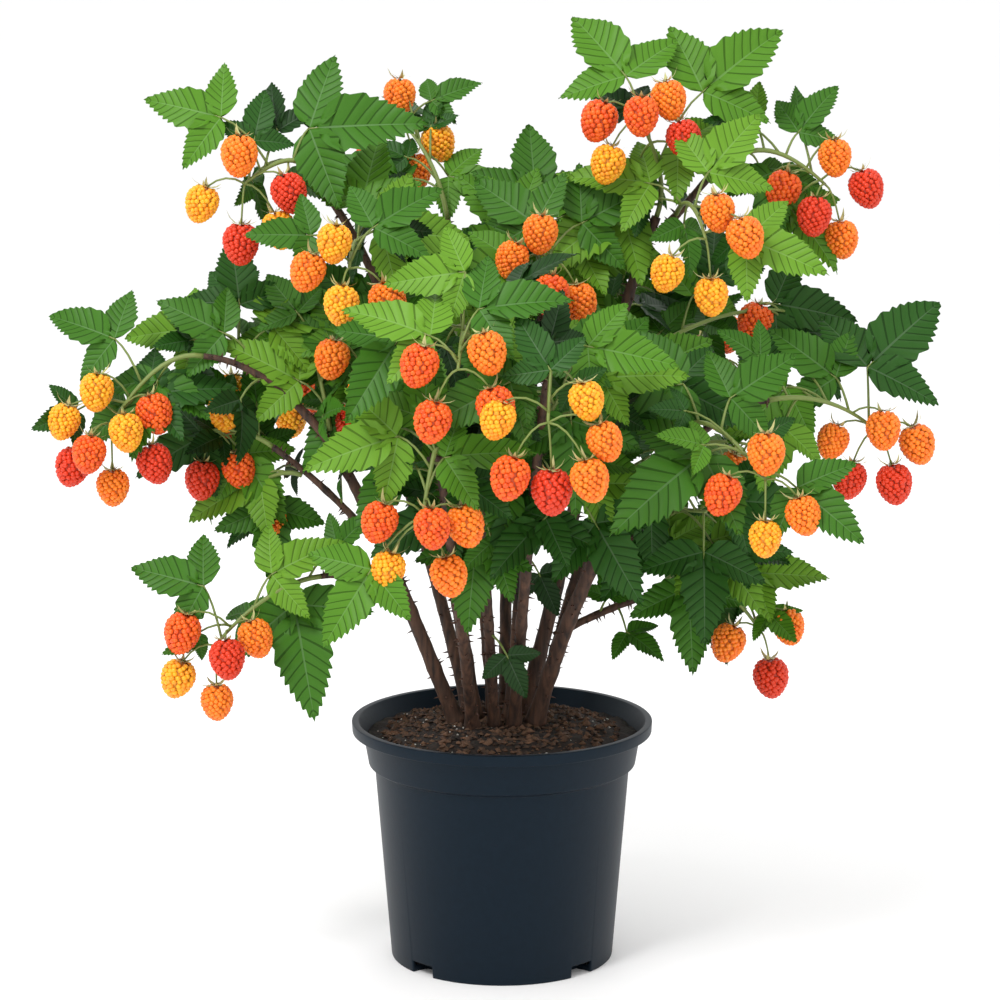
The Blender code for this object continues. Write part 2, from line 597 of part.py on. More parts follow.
def berry_places(shoot, points):
    """Each berry's pedicel root, centre, axis and size, settled until neighbours only just touch."""
    truss = points[-1] - Vector((0, 0, TRUSS_HANG))
    tokens = shoot.fruit.split()
    towards = place(shoot.facing, 1, 0)
    ring = TRUSS_RING.get(len(tokens), WIDE_TRUSS_RING)
    roots, centres, sizes = [], [], []
    for number, token in enumerate(tokens):
        _, clock, letter = read_token(token)
        draw = random.Random(f"{shoot.name} berry {number}")
        upward = max(0, math.cos(math.radians(30 * clock)))
        roots.append(at_share(points, 1 - UPPER_ROOT_STEP * upward)[0])
        near = letter.isupper()
        out = clock_direction(clock, shoot.facing) * ring * (NEAR_SHARE if near else 1)
        lift = NEAR_LIFT if near else draw.uniform(-1, 1) * LIFT_SPREAD
        centres.append(truss + out + towards * lift)
        sizes.append(RIPENESS_SIZE[letter.lower()] * (1 + draw.uniform(-1, 1) * BERRY_SIZE_SPREAD))
    for _ in range(SETTLING_STEPS):
        settle(centres, sizes)
    berries = []
    for root, centre, size in zip(roots, centres, sizes):
        out = centre - truss
        out.z = 0
        axis = (Vector((0, 0, -1)) + out / ring * BERRY_OUTWARD).normalized()
        berries.append((root, centre, axis, size))
    return berries


def settle(centres, sizes):
    """Pushes berries that press into each other half-way apart."""
    for first in range(len(centres)):
        for second in range(first):
            between = centres[first] - centres[second]
            wanted = BERRY_WIDTH * BERRY_CLEARANCE * (sizes[first] + sizes[second]) / 2
            short = wanted - between.length
            if short > 0:
                push = between.normalized() * short / 2
                centres[first] += push
                centres[second] -= push


def search_tree(verts, faces):
    """A search tree of these faces, a little swollen so that a near touch counts."""
    middle = sum(verts, Vector()) / len(verts)
    swollen = [v + (v - middle).normalized() * CLEAR_MARGIN for v in verts]
    return BVHTree.FromPolygons(swollen, faces)


def is_clear(growth, surfaces, own, middle, room):
    """True if a growth stays within room of middle and touches neither the surfaces nor its own shoot's growths."""
    if any((v - middle).length > room for v in growth.verts):
        return False
    head = search_tree(growth.verts, growth.head)
    stalk = search_tree(growth.verts, growth.stalk)
    if any(head.overlap(surface) or stalk.overlap(surface) for surface in surfaces):
        return False
    for other_head, other_stalk in own:
        if head.overlap(other_head) or stalk.overlap(other_head) or head.overlap(other_stalk):
            return False
    own.append((head, stalk))
    return True


def outermost(mesh):
    """Leaves only the mesh's largest connected piece, so sealed hollows fill and scraps go."""
    shape = bmesh.new()
    shape.from_mesh(mesh)
    unseen = set(shape.verts)
    pieces = []
    while unseen:
        piece, edge = set(), [unseen.pop()]
        while edge:
            vert = edge.pop()
            piece.add(vert)
            for link in vert.link_edges:
                other = link.other_vert(vert)
                if other in unseen:
                    unseen.remove(other)
                    edge.append(other)
        pieces.append(piece)
    largest = max(pieces, key=len)
    bmesh.ops.delete(shape, geom=[v for v in shape.verts if v not in largest], context="VERTS")
    shape.to_mesh(mesh)
    shape.free()


def fused(name, stem, pieces, finish):
    """One solid made of the stem and every piece that sinks into it."""
    helpers = bpy.data.collections.new(name + "_pieces")
    bpy.context.scene.collection.children.link(helpers)
    for number, piece in enumerate(pieces):
        mesh_object(f"{name}_piece_{number}", piece.verts, piece.head + piece.stalk, finish, helpers)
    made = mesh_object(name, *stem, finish)
    union = made.modifiers.new("fuse", "BOOLEAN")
    union.operation = "UNION"
    union.operand_type = "COLLECTION"
    union.solver = "MANIFOLD"
    union.collection = helpers
    graph = bpy.context.evaluated_depsgraph_get()
    mesh = bpy.data.meshes.new_from_object(made.evaluated_get(graph))
    made.modifiers.clear()
    made.data = mesh
    for helper in list(helpers.objects):
        bpy.data.objects.remove(helper)
    bpy.data.collections.remove(helpers)
    outermost(mesh)
    return made


def stem_shape(shoot, points, limbs):
    radii = [STEM_THICK + (STEM_THIN - STEM_THICK) * n / (STEM_RINGS - 1) for n in range(STEM_RINGS)]
    return tube(points, radii, STEM_SIDES, end_direction(limbs, shoot))


def make_shoots(limbs, surfaces):
    """Every leafy shoot. All the stems are laid out first, so that no leaf or berry touches another one's stem."""
    finish = material("leafy_shoot", LEAF_COLOUR, 0.6)
    lines = {shoot.name: shoot_points(shoot, limbs) for shoot in SHOOTS}
    stems = {shoot.name: stem_shape(shoot, lines[shoot.name], limbs) for shoot in SHOOTS}
    trees = {name: search_tree(*stem) for name, stem in stems.items()}
    for shoot in SHOOTS:
        own_tree = trees.pop(shoot.name)
        made = make_shoot(shoot, lines[shoot.name], stems[shoot.name], [*surfaces, *trees.values()], finish)
        trees[shoot.name] = own_tree
        surfaces.append(BVHTree.FromPolygons([v.co for v in made.data.vertices],
                                             [tuple(p.vertices) for p in made.data.polygons]))


def make_shoot(shoot, points, stem, surfaces, finish):
    """One leafy shoot; a leaf or berry that would touch what stands already is left off."""
    middle = (points[0] + points[-1]) / 2
    room = SHOOT_ROOM + (points[-1] - points[0]).length / 2
    own, kept = [], []
    for berry in berry_places(shoot, points):
        growth = berry_shape(*berry)
        if is_clear(growth, surfaces, own, middle, room):
            kept.append(growth)
    for number in range(len(shoot.leaves.split())):
        for shift in LEAF_SHIFTS:
            growth = leaf_shape(*leaf_places(shoot, points, shift)[number])
            if is_clear(growth, surfaces, own, middle, room):
                kept.append(growth)
                break
    return fused("shoot_" + shoot.name, stem, kept, finish)


def clear_scene():
    for old in list(bpy.data.objects):
        bpy.data.objects.remove(old, do_unlink=True)


def main():
    clear_scene()
    make_pot()
    make_mix()
    limbs, surfaces = make_limbs()
    make_shoots(limbs, surfaces)


main()
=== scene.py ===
"""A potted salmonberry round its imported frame: a nursery pot, its mix, prickly canes, leaves and fruit.

Metres, +Z up. The origin is on the pot's axis where it meets the floor. A bearing runs round the pot,
0 towards -Y and 90 towards +X. A clock direction is read by someone who looks at a shoot from its facing
bearing, 12 up and 3 to the right. The limbs and shoots grow by the part's own rule, and smaller leaves are
added behind and between them.
"""

import functools
import math
import random
from collections import namedtuple

import bmesh
import bpy
from bpy.props import FloatProperty, FloatVectorProperty, IntProperty, PointerProperty
from mathutils import Matrix, Vector, noise


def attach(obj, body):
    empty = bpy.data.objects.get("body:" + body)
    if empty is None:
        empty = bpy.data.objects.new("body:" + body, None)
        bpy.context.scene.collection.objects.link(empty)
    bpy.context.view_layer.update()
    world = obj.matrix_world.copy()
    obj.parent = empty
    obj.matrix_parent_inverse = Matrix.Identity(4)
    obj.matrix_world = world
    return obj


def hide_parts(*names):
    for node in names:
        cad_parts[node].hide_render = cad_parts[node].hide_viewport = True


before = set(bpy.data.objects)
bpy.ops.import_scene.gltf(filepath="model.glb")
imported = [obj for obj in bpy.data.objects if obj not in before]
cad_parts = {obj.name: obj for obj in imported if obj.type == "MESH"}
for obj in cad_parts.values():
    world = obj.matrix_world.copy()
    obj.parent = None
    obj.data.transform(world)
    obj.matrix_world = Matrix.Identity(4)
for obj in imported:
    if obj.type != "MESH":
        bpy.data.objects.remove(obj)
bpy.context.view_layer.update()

bl_info = {
    "name": "Potted salmonberry",
    "version": (1, 0, 0),
    "blender": (4, 5, 0),
    "location": "3D View > Sidebar > Plant",
    "description": "Grows a potted salmonberry round its packed frame",
    "category": "Add Mesh",
}

# Angles: an hour of the clock in degrees, and the turn between neighbours on a spiral
HOUR = 30
GOLDEN_ANGLE = math.pi * (3 - math.sqrt(5))

# Pot
POT_HEIGHT = 0.161
RIM_RADIUS = 0.100
RIM_INSIDE = 0.0955
LIP_HEIGHT = 0.0075
LIP_DRAFT = 0.0004
COLLAR_TOP_RADIUS = 0.0925
COLLAR_FOOT_RADIUS = 0.0888
COLLAR_FOOT = 0.131
COLLAR_STEP = 0.002
WALL_TOP_RADIUS = 0.0848
BASE_RADIUS = 0.0742
POT_WALL = 0.0028
POT_FLOOR = 0.004
POT_SEGMENTS = 128
POT_SEAM = 1e-6
POT_EDGE = 0.0007
POT_EDGE_SEGMENTS = 3
POT_EDGE_ANGLE = 18
POT_SMOOTH_ANGLE = 40
DRAIN_COUNT = 4
DRAIN_BEARING = 45
DRAIN_WIDTH = 0.018
DRAIN_HEIGHT = 0.008
DRAIN_DEPTH = 0.024

# Potting mix
MIX_EDGE = 0.150
MIX_CROWN = 0.158
MIX_FLAT_RADIUS = 0.052
MIX_RINGS = 44
MIX_SPOKES = 150
CLOD_HEIGHT = 0.00176
CLOD_SCALE = 55
CLOD_FRACTAL = (0.7, 2.2, 5)
GRAIN_HEIGHT = 0.0008
GRAIN_SCALE = 520
CHIP_COUNT = 1300
CHIP_SIZES = (0.0016, 0.0080)
CHIP_EVENNESS = 0.5
PERLITE_COUNT = 130
PERLITE_SIZES = (0.0010, 0.0026)
PERLITE_EVENNESS = 0.9
CRUMB_FLATNESS = 0.7
CRUMB_TURN = 6.28
CRUMB_LEAN = 0.5
CRUMB_RISE = 0.4
CRUMB_CORNERS = (0.7, 1.2)
CRUMB_EDGE_ROOM = 1.5
CRUMB_POINTS = ((1, 0, 0), (0, 1, 0), (-1, 0, 0), (0, -1, 0), (0, 0, 1), (0, 0, -1))
GAP = 0.0003

# Canes and boughs
LIMB_RINGS = 8
FINE_RINGS = 72
BARK_SIDES = 14
BARK_RELIEF = 0.07
BARK_GRAIN = 260
BARK_RIDGES = BARK_GRAIN / 3
CANE_JOINT_STEP = 0.042
CANE_JOINT_SWELLING = 0.12
CANE_JOINT_SHARPNESS = 6
FOOT_FLARE = 1.3
FOOT_FLARE_LENGTH = 0.018
LEAVING_PULL = 0.38
ARRIVING_PULL = 0.28
PRICKLE_STEP = 0.0032
PRICKLE_LENGTH = 0.0046
PRICKLE_LENGTHS = (0.5, 1.1)
PRICKLE_LEAN = (-0.2, 0.3)
PRICKLE_ROOT = 0.9
PRICKLE_RADIUS = 0.00085

# Shoots
STEM_SIDES = 7
STEM_RINGS = 5
FINE_STEM_RINGS = 15
STEM_THICK = 0.0018
STEM_THIN = 0.0010
STEM_RISE = 0.5
STEM_DROOP = 0.5
FIRST_LEAF_SHARE = 0.22
LAST_LEAF_SHARE = 0.92
PETIOLE_LENGTH = 0.024
PETIOLE_SPREAD = 0.15
PETIOLE_SINK = 0.0004
PETIOLE_STEP = 0.4
PETIOLE_FORWARD = 0.25
PETIOLE_RISE = 0.35
PETIOLE_RADII = (0.00095, 0.00065)
END_STALK_RADII = (0.00065, 0.00052)
END_STALK_SINK = 0.02
PETIOLE_SAG = 0.12
PEDICEL_RADII = (0.00080, 0.00060)
PEDICEL_SAG = 0.18
STALK_RINGS = 5
STALK_SIDES = 5

# Leaf of three leaflets; sizes within a leaf are shares of its length
LEAF_LENGTH = 0.056
LEAF_SIZES = {"s": 0.72, "": 1.0, "l": 1.28}
LEAF_SIZE_SPREAD = 0.10
LEAF_TILT = 32
LEAF_TILT_SPREAD = 12
LEAF_TURN_SPREAD = 16
LEAF_BACK = 0.014
LEAF_DROOP = 0.15
DROOP_SPREAD = 0.10
END_STALK = 0.06
SIDE_LEAFLET = 0.72
SIDE_LEAFLET_SPREAD = 0.08
SIDE_ANGLE = 70
SIDE_ANGLE_SPREAD = 8
SIDE_TWIST = (-0.1, 0.25)
SIDE_DROOP = 0.8
LEAFLET_WIDTH = 0.265
SIDE_LEAFLET_WIDTH = 0.275
LEAFLET_SHAPE = (0.54, 1.06)
VEINS = 9
VEIN_ROWS = (0, 0.16, 0.58)
VEINS_OF_BASE = 2.5
VEIN_REACH = 0.32
MIDRIB_HALF = 0.040
VEIN_COLUMNS = (0, MIDRIB_HALF, 0.52, 1)
VEIN_LIGHTNESS = 0.035
# The groove strips along the side veins are darkened by this share, as painted shade in the grooves
GROOVE_PAINTED_SHADE = 0.50
VEIN_DEPTH = 0.018
TOOTH_OUT = 0.060
TOOTH_FORWARD = 0.022
LEAF_FOLD = 0.30
LEAF_FOLDS = (0.6, 1.3)
MARGIN_WAVE = 0.022
MARGIN_WAVES = 9

# Smaller leaves that fill the crown
FILL_LEAVES = 3
FILL_SIZES = (0.45, 0.75)
FILL_ROOTS = (0.02, 0.8)
FILL_TURN = 60
FILL_BACK = (0.012, 0.045)
SMALL_PETIOLES = (0.6, 1.2)
SMALL_TILT_SPREAD = 24
LIMB_LEAF_STEP = 0.050
LIMB_LEAF_FOOT = 0.300
LIMB_LEAF_SIZES = (0.45, 0.80)
LIMB_LEAF_CLOCKS = (9, 3)
LIMB_LEAF_TURN = 2
LOW_LEAF_SIZES = (0.50, 0.58)
LOW_LEAF_FORWARD = 0.012

# Small leaves low on the canes: limb, share of it and clock direction
LOW_LEAVES = (
    ("cane_front", 0.22, 5),
    ("low_right", 0.42, 5.5),
    ("low_right", 0.30, 1),
    ("cane_middle", 0.35, 5),
)

# Berry
BERRY_WIDTH = 0.0245
BERRY_HEIGHT = 0.0265
BERRY_SIZE_SPREAD = 0.06
RIPENESS_SIZE = {"y": 0.95, "o": 0.98, "c": 1.02, "r": 1.04}
TRUSS_RING = {1: 0.020, 2: 0.021, 3: 0.023, 4: 0.026, 5: 0.028}
WIDE_TRUSS_RING = 0.032
NEAR_SHARE = 0.45
NEAR_LIFT = 0.016
LIFT_SPREAD = 0.005
BERRY_CLEARANCE = 1.03
TRUSS_HANG = 0.010
BERRY_OUTWARD = 0.35
UPPER_ROOT_STEP = 0.3
SETTLING_STEPS = 24
BERRY_TOP = 0.46
DRUPELETS = 150
DRUPELET_RADIUS = 0.00182
DRUPELET_SIDES = 6
DRUPELET_TOP = 0.000375
DRUPELET_SIZES = (0.92, 1.10)
DRUPELET_TURN = 0.11
DRUPELETS_FROM = -0.93
DRUPELETS_REACH = 1.92
CORE_SHARE = 0.84
CORE_RINGS = 7
CORE_SIDES = 12
CORE_END = 0.96
# The core shows in the gaps between the beads; this share darkens it as painted shade
CORE_PAINTED_SHADE = 0.8
EGG_TAPER = 0.156
EGG_SWELLING = 0.06
EGG_STEP = 0.02
RIPER_AT_TOP = 0.14
RIPER_RISE = 0.21
SEPAL_COUNT = 5
SEPAL_LENGTH = 0.0105
SEPAL_WIDTH = 0.0030
SEPAL_LENGTHS = (0.8, 1.2)
SEPAL_LIFTS = (0.1, 0.7)
SEPAL_SAG = 0.08
SEPAL_CURL = 0.25
CALYX_RISE = 0.02
STAMEN_COUNT = 11
STAMEN_LENGTH = 0.0052
STAMEN_RADIUS = 0.00022
STAMEN_LENGTHS = (0.6, 1.2)
STAMEN_RISES = (-0.1, 0.9)
STAMEN_RING = 0.001

# Rings of a bead: share of its radius, and height over the berry's skin
DRUPELET_RINGS = ((1.0, -0.0016), (0.92, -0.00061), (0.55, 0.000025))

# Outline of a sepal: share of its length, and share of its width there
SEPAL_OUTLINE = ((0.05, 0.5), (0.35, 1.0), (0.7, 0.6), (1.0, 0))
SEPAL_FACES = [(0, 1, 3, 2), (2, 3, 5, 4), (4, 5, 7, 6)]

# Mottled finishes: roughness, scale of the noise, its spread of colour and its relief
POT_FINISH = (0.46, 240, 0.10, 0.05)
POT_SPECULAR = 0.20
POT_SPECULAR_TINT = (0.60, 0.82, 1, 1)
MIX_FINISH = (0.92, 420, 0.65, 0.6)
CHIP_FINISH = (0.85, 140, 0.92, 0.4)
PERLITE_FINISH = (0.8, 500, 0.25, 0.3)
BARK_FINISH = (0.72, 300, 0.75, 0.6, (1, 1, 0.10))
MOTTLE_DETAIL = 6
MOTTLE_STOPS = (0.32, 0.70)
MOTTLE_DISTANCE = 0.001

# Plain finishes: roughness and specular level
BLADE_FINISH = (0.48, 0.22)
VEIN_FINISH = (0.5, 0.22)
GROOVE_FINISH = (0.6, 0.15)
BEAD_FINISH = (0.27, 0.35)
PRICKLE_ROUGHNESS = 0.6
STEM_ROUGHNESS = 0.5
CORE_ROUGHNESS = 0.5
SEPAL_ROUGHNESS = 0.55
STAMEN_ROUGHNESS = 0.7
FLOOR_ROUGHNESS = 0.9

# Floor and lights; a light's name, place, aim, power and size
FLOOR_HALF = 30
FLOOR_WHITE = (0.95, 0.95, 0.95)
SKY_STRENGTH = 1.06
LIGHTS = (
    ("key", (-1.1, -1.5, 2.3), (0, 0, 0.30), 38, 0.7),
    ("fill", (1.6, -1.8, 1.0), (0, 0, 0.35), 5, 1.6),
    ("back", (0.3, 1.8, 2.2), (0, 0, 0.40), 9, 1.4),
)

# Camera, from the photograph's own pot ellipse
CAMERA_DISTANCE = 2.075
CAMERA_HEIGHT = 0.678
CAMERA_PITCH = 10.09
CAMERA_LENS = 115.3
CAMERA_SENSOR = 36
CAMERA_SHIFT = -0.002

# A cane starts at a foot on the mix; a bough starts at a share of its carrier. The tip is a bearing, a reach
# from the axis and a height. leave and arrive are the slopes in degrees at the two ends.
Limb = namedtuple("Limb", "name carrier share foot bearing reach height leave arrive thick thin")
LIMBS = (
    Limb("cane_left", None, 0, (266, 0.030), 286, 0.106, 0.335, 66, 60, 0.0052, 0.0034),
    Limb("cane_front_left", None, 0, (306, 0.024), 346, 0.160, 0.365, 62, 55, 0.0042, 0.0024),
    Limb("cane_top_left", None, 0, (235, 0.021), 289, 0.132, 0.530, 80, 46, 0.0046, 0.0022),
    Limb("cane_front", None, 0, (333, 0.011), 352, 0.150, 0.435, 66, 52, 0.0038, 0.0022),
    Limb("cane_inner", None, 0, (194, 0.025), 222, 0.054, 0.490, 84, 80, 0.0038, 0.0020),
    Limb("cane_middle", None, 0, (153, 0.009), 100, 0.030, 0.455, 84, 80, 0.0038, 0.0022),
    Limb("cane_tall", None, 0, (148, 0.026), 90, 0.100, 0.495, 74, 68, 0.0054, 0.0030),
    Limb("cane_front_right", None, 0, (42, 0.012), 10, 0.165, 0.425, 68, 52, 0.0042, 0.0022),
    Limb("cane_right", None, 0, (82, 0.022), 48, 0.150, 0.370, 70, 42, 0.0056, 0.0030),
    Limb("cane_back_left", None, 0, (218, 0.036), 222, 0.150, 0.385, 70, 50, 0.0046, 0.0024),
    Limb("cane_back", None, 0, (177, 0.037), 178, 0.130, 0.430, 74, 55, 0.0044, 0.0024),
    Limb("cane_back_right", None, 0, (145, 0.044), 136, 0.160, 0.395, 68, 48, 0.0046, 0.0024),
    Limb("arch_left", "cane_left", 1.0, None, 281, 0.195, 0.409, 60, 4, 0.0032, 0.0018),
    Limb("arch_low", "cane_left", 0.62, None, 272, 0.150, 0.345, 48, 34, 0.0026, 0.0018),
    Limb("low_left", "cane_left", 0.50, None, 294, 0.128, 0.268, 20, 0, 0.0024, 0.0018),
    Limb("tall_right", "cane_tall", 0.94, None, 90, 0.156, 0.536, 42, 14, 0.0028, 0.0018),
    Limb("right_out", "cane_right", 0.80, None, 70, 0.180, 0.384, 36, 4, 0.0024, 0.0018),
    Limb("right_up", "cane_right", 0.42, None, 84, 0.105, 0.298, 50, 34, 0.0024, 0.0018),
    Limb("low_right", "cane_tall", 0.13, None, 96, 0.130, 0.248, 32, 8, 0.0028, 0.0018),
)

# A shoot leaves its carrier at a share of it and ends at its truss, given like a limb's tip. leaves holds
# where each leaf points, as a clock direction, in order up the stem. A direction with > after it is its
# petiole's, where that differs; s is a small leaf and l a large one, and each p makes the petiole longer,
# each q shorter. fruit holds the clock direction of each berry round the truss, with its ripeness: y yellow,
# o orange, c coral, r red. A capital letter hangs near the middle, in front.
Shoot = namedtuple("Shoot", "name carrier share bearing reach height facing leaves fruit")
SHOOTS = (
    Shoot("left_end", "arch_left", 1.0, 281, 0.255, 0.357, 0,
          "7>6.3 10.5>10p 2.5", "9.7y 11.5y 2c 2Y 8C 7.8r 4r 6o"),
    Shoot("top_left", "cane_top_left", 1.0, 290, 0.172, 0.511, 0,
          "1>3l 10>9.6pp 12.4s", "8.8y 11.8o 2.8r 6.2r 4.3y"),
    Shoot("top_right", "cane_tall", 1.0, 71, 0.093, 0.550, 0,
          "7.5l 1.4>1.5lppp 4 11>11lp", "9.6c 1.3o 12C 3.2r 7.6y"),
    Shoot("right_top_end", "tall_right", 1.0, 90, 0.209, 0.506, 0,
          "11>10s 1sq 8>6 7>5", "9.4c 7.4R 2.5r 12.4o 5.2o"),
    Shoot("right_end", "right_out", 1.0, 83, 0.243, 0.350, 0,
          "6.5 9>7.5 11>10.5 12>1.3lpp", "9.2o 12.5O 3o 7.2r 5.1r"),
    Shoot("low_left_end", "low_left", 1.0, 294, 0.200, 0.219, 0,
          "6>5.7lq 1>2 11>9.7p", "10.4c 2o 2R 8.1y 6o"),
    Shoot("low_right_end", "low_right", 1.0, 97, 0.175, 0.205, 0,
          "12 1>3.2 11s", "9.3o 1.7o 5.4r"),
    Shoot("centre", "cane_front", 1.0, 353, 0.212, 0.414, 0,
          "8>7pp 12>8.8p 1>2.8 10", "9.9c 1.4o 4c 7.2c"),
    Shoot("centre_right", "cane_front_right", 1.0, 7, 0.222, 0.384, 0,
          "3.5 8 12>11s", "9.7y 1.5y 3.4o 7.5c 5.8r 4.2o"),
    Shoot("centre_low", "cane_front_left", 1.0, 345, 0.187, 0.316, 0,
          "11>12 10>8.3 1>2.9 7pp", "9.8c 1.1C 2.4o 7.6y 4.8o"),
    Shoot("right_mid", "cane_right", 1.0, 45, 0.226, 0.340, 0,
          "11>8.6l 1>1.8 8>7.4l 4.5", "12o 9c 6y 3.9o"),
    Shoot("left_inner", "arch_low", 1.0, 270, 0.190, 0.345, 0, "12s 8 5", "6.5r 4.5c 12.7y"),
    Shoot("top_left_low", "cane_top_left", 0.80, 322, 0.152, 0.464, 0,
          "12 3 9s 1.5", "9.7o 6.7Y 3.8o 11.2y"),
    Shoot("top_mid_left", "cane_inner", 1.0, 224, 0.098, 0.543, 0,
          "9l 5>4 2s", "12o 7.6r 3.4y 5.2o"),
    Shoot("mid_upper", "cane_middle", 1.0, 31, 0.060, 0.463, 0, "9 3 2 10.5 8", "9.8o 6C 4.5o 11.4o"),
    Shoot("right_upper", "tall_right", 0.15, 46, 0.173, 0.482, 0, "9.5 1 4", "12.7o 2o 8.2y 5.7y"),
    Shoot("left_up", "arch_left", 0.62, 268, 0.178, 0.416, 0, "10 2 12 9", ""),
    Shoot("left_mid", "arch_left", 0.12, 276, 0.125, 0.420, 0, "10 1 3 11s", ""),
    Shoot("left_low", "arch_low", 0.55, 268, 0.165, 0.305, 0, "8 6 10s", "4.5o"),
    Shoot("inner_left", "cane_top_left", 0.50, 292, 0.105, 0.388, 0, "9 1 7 11 4 2", "5.8r 3.2O 11o"),
    Shoot("top_mid", "cane_middle", 0.92, 160, 0.060, 0.490, 0, "9 3 10.5 2 12 5", ""),
    Shoot("right_far_up", "cane_tall", 0.62, 100, 0.190, 0.420, 0, "10 1 11.8 3.3 5", "9.2c"),
    Shoot("right_inner", "cane_tall", 0.50, 52, 0.115, 0.410, 0, "9 2 11 4 7", ""),
    Shoot("right_low", "right_up", 1.0, 70, 0.140, 0.310, 0, "7 5 8.5 3 6", ""),
    Shoot("low_right_leaves", "low_right", 0.70, 74, 0.138, 0.278, 0, "12 6q 3s", ""),
    Shoot("low_centre", "cane_front", 0.46, 352, 0.105, 0.322, 0, "6 8 4 5.5s", ""),
    Shoot("mid_front", "cane_front_right", 0.75, 20, 0.125, 0.405, 0, "9 11 1 3 6", ""),
    Shoot("mid_low", "cane_front_right", 0.52, 24, 0.115, 0.335, 0, "9 3 11 1 5 7", ""),
    Shoot("mid_left", "cane_front", 0.70, 336, 0.105, 0.370, 0, "9 11 1 3 7", ""),
    Shoot("inner_high", "cane_inner", 0.72, 300, 0.060, 0.440, 0, "9 11 1 3 6", ""),
    Shoot("left_back", "cane_back_left", 0.72, 255, 0.185, 0.350, 240, "9 3 12 6", "7o 4r 12y"),
    Shoot("back_left", "cane_back_left", 1.0, 224, 0.215, 0.365, 215, "9 2 11 5 7.5", "8c 4o 6y 1r"),
    Shoot("back_left_top", "cane_back_left", 0.85, 212, 0.130, 0.450, 200, "9 1.5 11 4 7", ""),
    Shoot("back", "cane_back", 1.0, 180, 0.205, 0.405, 180, "9.5 3 12 7 5", "9y 3o 6r 11c"),
    Shoot("back_top", "cane_back", 0.85, 168, 0.100, 0.470, 175, "10 2 12 4 8", ""),
    Shoot("back_low", "cane_back", 0.45, 192, 0.165, 0.300, 185, "9 3 11 6 1", "7y 5c"),
    Shoot("back_right", "cane_back_right", 1.0, 136, 0.225, 0.370, 140, "9 3 11 5 7", "8r 4y 6o 12c 2o"),
    Shoot("back_right_top", "cane_back_right", 0.80, 145, 0.130, 0.460, 160, "10 2 12 8 4", ""),
    Shoot("right_back", "cane_back_right", 0.55, 112, 0.180, 0.325, 115, "9 2 12 6 4", "7c 4o"),
)

# Leaf tones, bright to shaded, and how often each is dealt out to a shoot's own leaf and to a small one. The
# bright tone is painted light and the shaded tone painted shade; the small leaves inside the crown get the
# darker tones more often, as painted shade.
LEAF_TONES = ("fresh", "bright", "mid", "deep", "shaded")
OWN_TONE_WEIGHTS = (3, 5, 6, 3, 0)
FILL_TONE_WEIGHTS = (0, 1, 4, 6, 4)

Leaf = namedtuple("Leaf", "root centre pointing normal length tone")
Berry = namedtuple("Berry", "root centre axis size ripeness")


def colour_of(name, description, default):
    """A colour setting."""
    return FloatVectorProperty(name=name, description=description, subtype="COLOR", min=0, max=1,
                               default=default)


class PlantSettings(bpy.types.PropertyGroup):
    """The sizes and colours of the plant that a user would change."""

    leaf_scale: FloatProperty(
        name="Leaf scale", description="Size of every leaf against its own place",
        default=1.0, min=0.7, max=1.3)
    fill_leaves: IntProperty(
        name="Fill leaves", description="Small leaves that each shoot grows behind its own",
        default=FILL_LEAVES, min=0, max=20)
    drupelets: IntProperty(
        name="Drupelets", description="Beads on one berry", default=DRUPELETS, min=40, max=240)
    prickle_length: FloatProperty(
        name="Prickle length", description="Usual length of a prickle", unit="LENGTH",
        default=PRICKLE_LENGTH, min=0.001, max=0.01)
    bark_relief: FloatProperty(
        name="Bark relief", description="Roughness of the bark, as a share of a limb's radius",
        subtype="FACTOR", default=BARK_RELIEF, min=0, max=0.2)
    leaf_fresh: colour_of("Fresh leaf", "Colour of the youngest leaves", (0.125, 0.285, 0.018))
    leaf_bright: colour_of("Bright leaf", "Colour of the leaves in full light", (0.076, 0.215, 0.011))
    leaf_mid: colour_of("Mid leaf", "Colour of most leaves", (0.041, 0.146, 0.008))
    # Dealt out at random to a shoot's own leaves, and more often to the small leaves in the crown, where its
    # darkness is painted shade
    leaf_deep: colour_of("Deep leaf", "Colour of the older leaves", (0.019, 0.085, 0.007))
    leaf_shaded: colour_of("Shaded leaf", "Colour of the leaves inside the crown", (0.010, 0.045, 0.005))
    yellow: colour_of("Unripe berry", "Colour of a yellow berry", (0.95, 0.43, 0.020))
    orange: colour_of("Ripening berry", "Colour of an orange berry", (0.92, 0.235, 0.018))
    coral: colour_of("Nearly ripe berry", "Colour of a coral berry", (0.86, 0.130, 0.013))
    red: colour_of("Ripe berry", "Colour of a red berry", (0.68, 0.042, 0.011))
    sepal: colour_of("Sepals", "Colour of the sepals above a berry", (0.45, 0.43, 0.17))
    stamen: colour_of("Stamens", "Colour of the dry stamens", (0.22, 0.13, 0.05))
    stem_green: colour_of("Green stem", "Colour of the young stems and stalks", (0.170, 0.230, 0.050))
    bark: colour_of("Bark", "Colour of the canes", (0.062, 0.028, 0.015))
    prickle: colour_of("Prickles", "Colour of the prickles", (0.085, 0.036, 0.020))
    plastic: colour_of("Pot", "Colour of the pot's plastic", (0.0030, 0.0068, 0.0125))
    mix: colour_of("Potting mix", "Colour of the potting mix", (0.014, 0.008, 0.005))
    bark_chip: colour_of("Bark chips", "Colour of the chips in the mix", (0.075, 0.037, 0.019))
    perlite: colour_of("Perlite", "Colour of the white grains in the mix", (0.52, 0.50, 0.46))


# Directions and curves


def place(bearing, reach, height):
    angle = math.radians(bearing)
    return Vector((reach * math.sin(angle), -reach * math.cos(angle), height))


def up(length):
    return Vector((0, 0, length))


def raised(heading, slope):
    """A level direction, raised by this slope in degrees."""
    return heading * math.cos(math.radians(slope)) + up(math.sin(math.radians(slope)))


def square_to(normal, direction):
    """The unit direction square to normal that is nearest to the given one."""
    return (direction - normal * direction.dot(normal)).normalized()


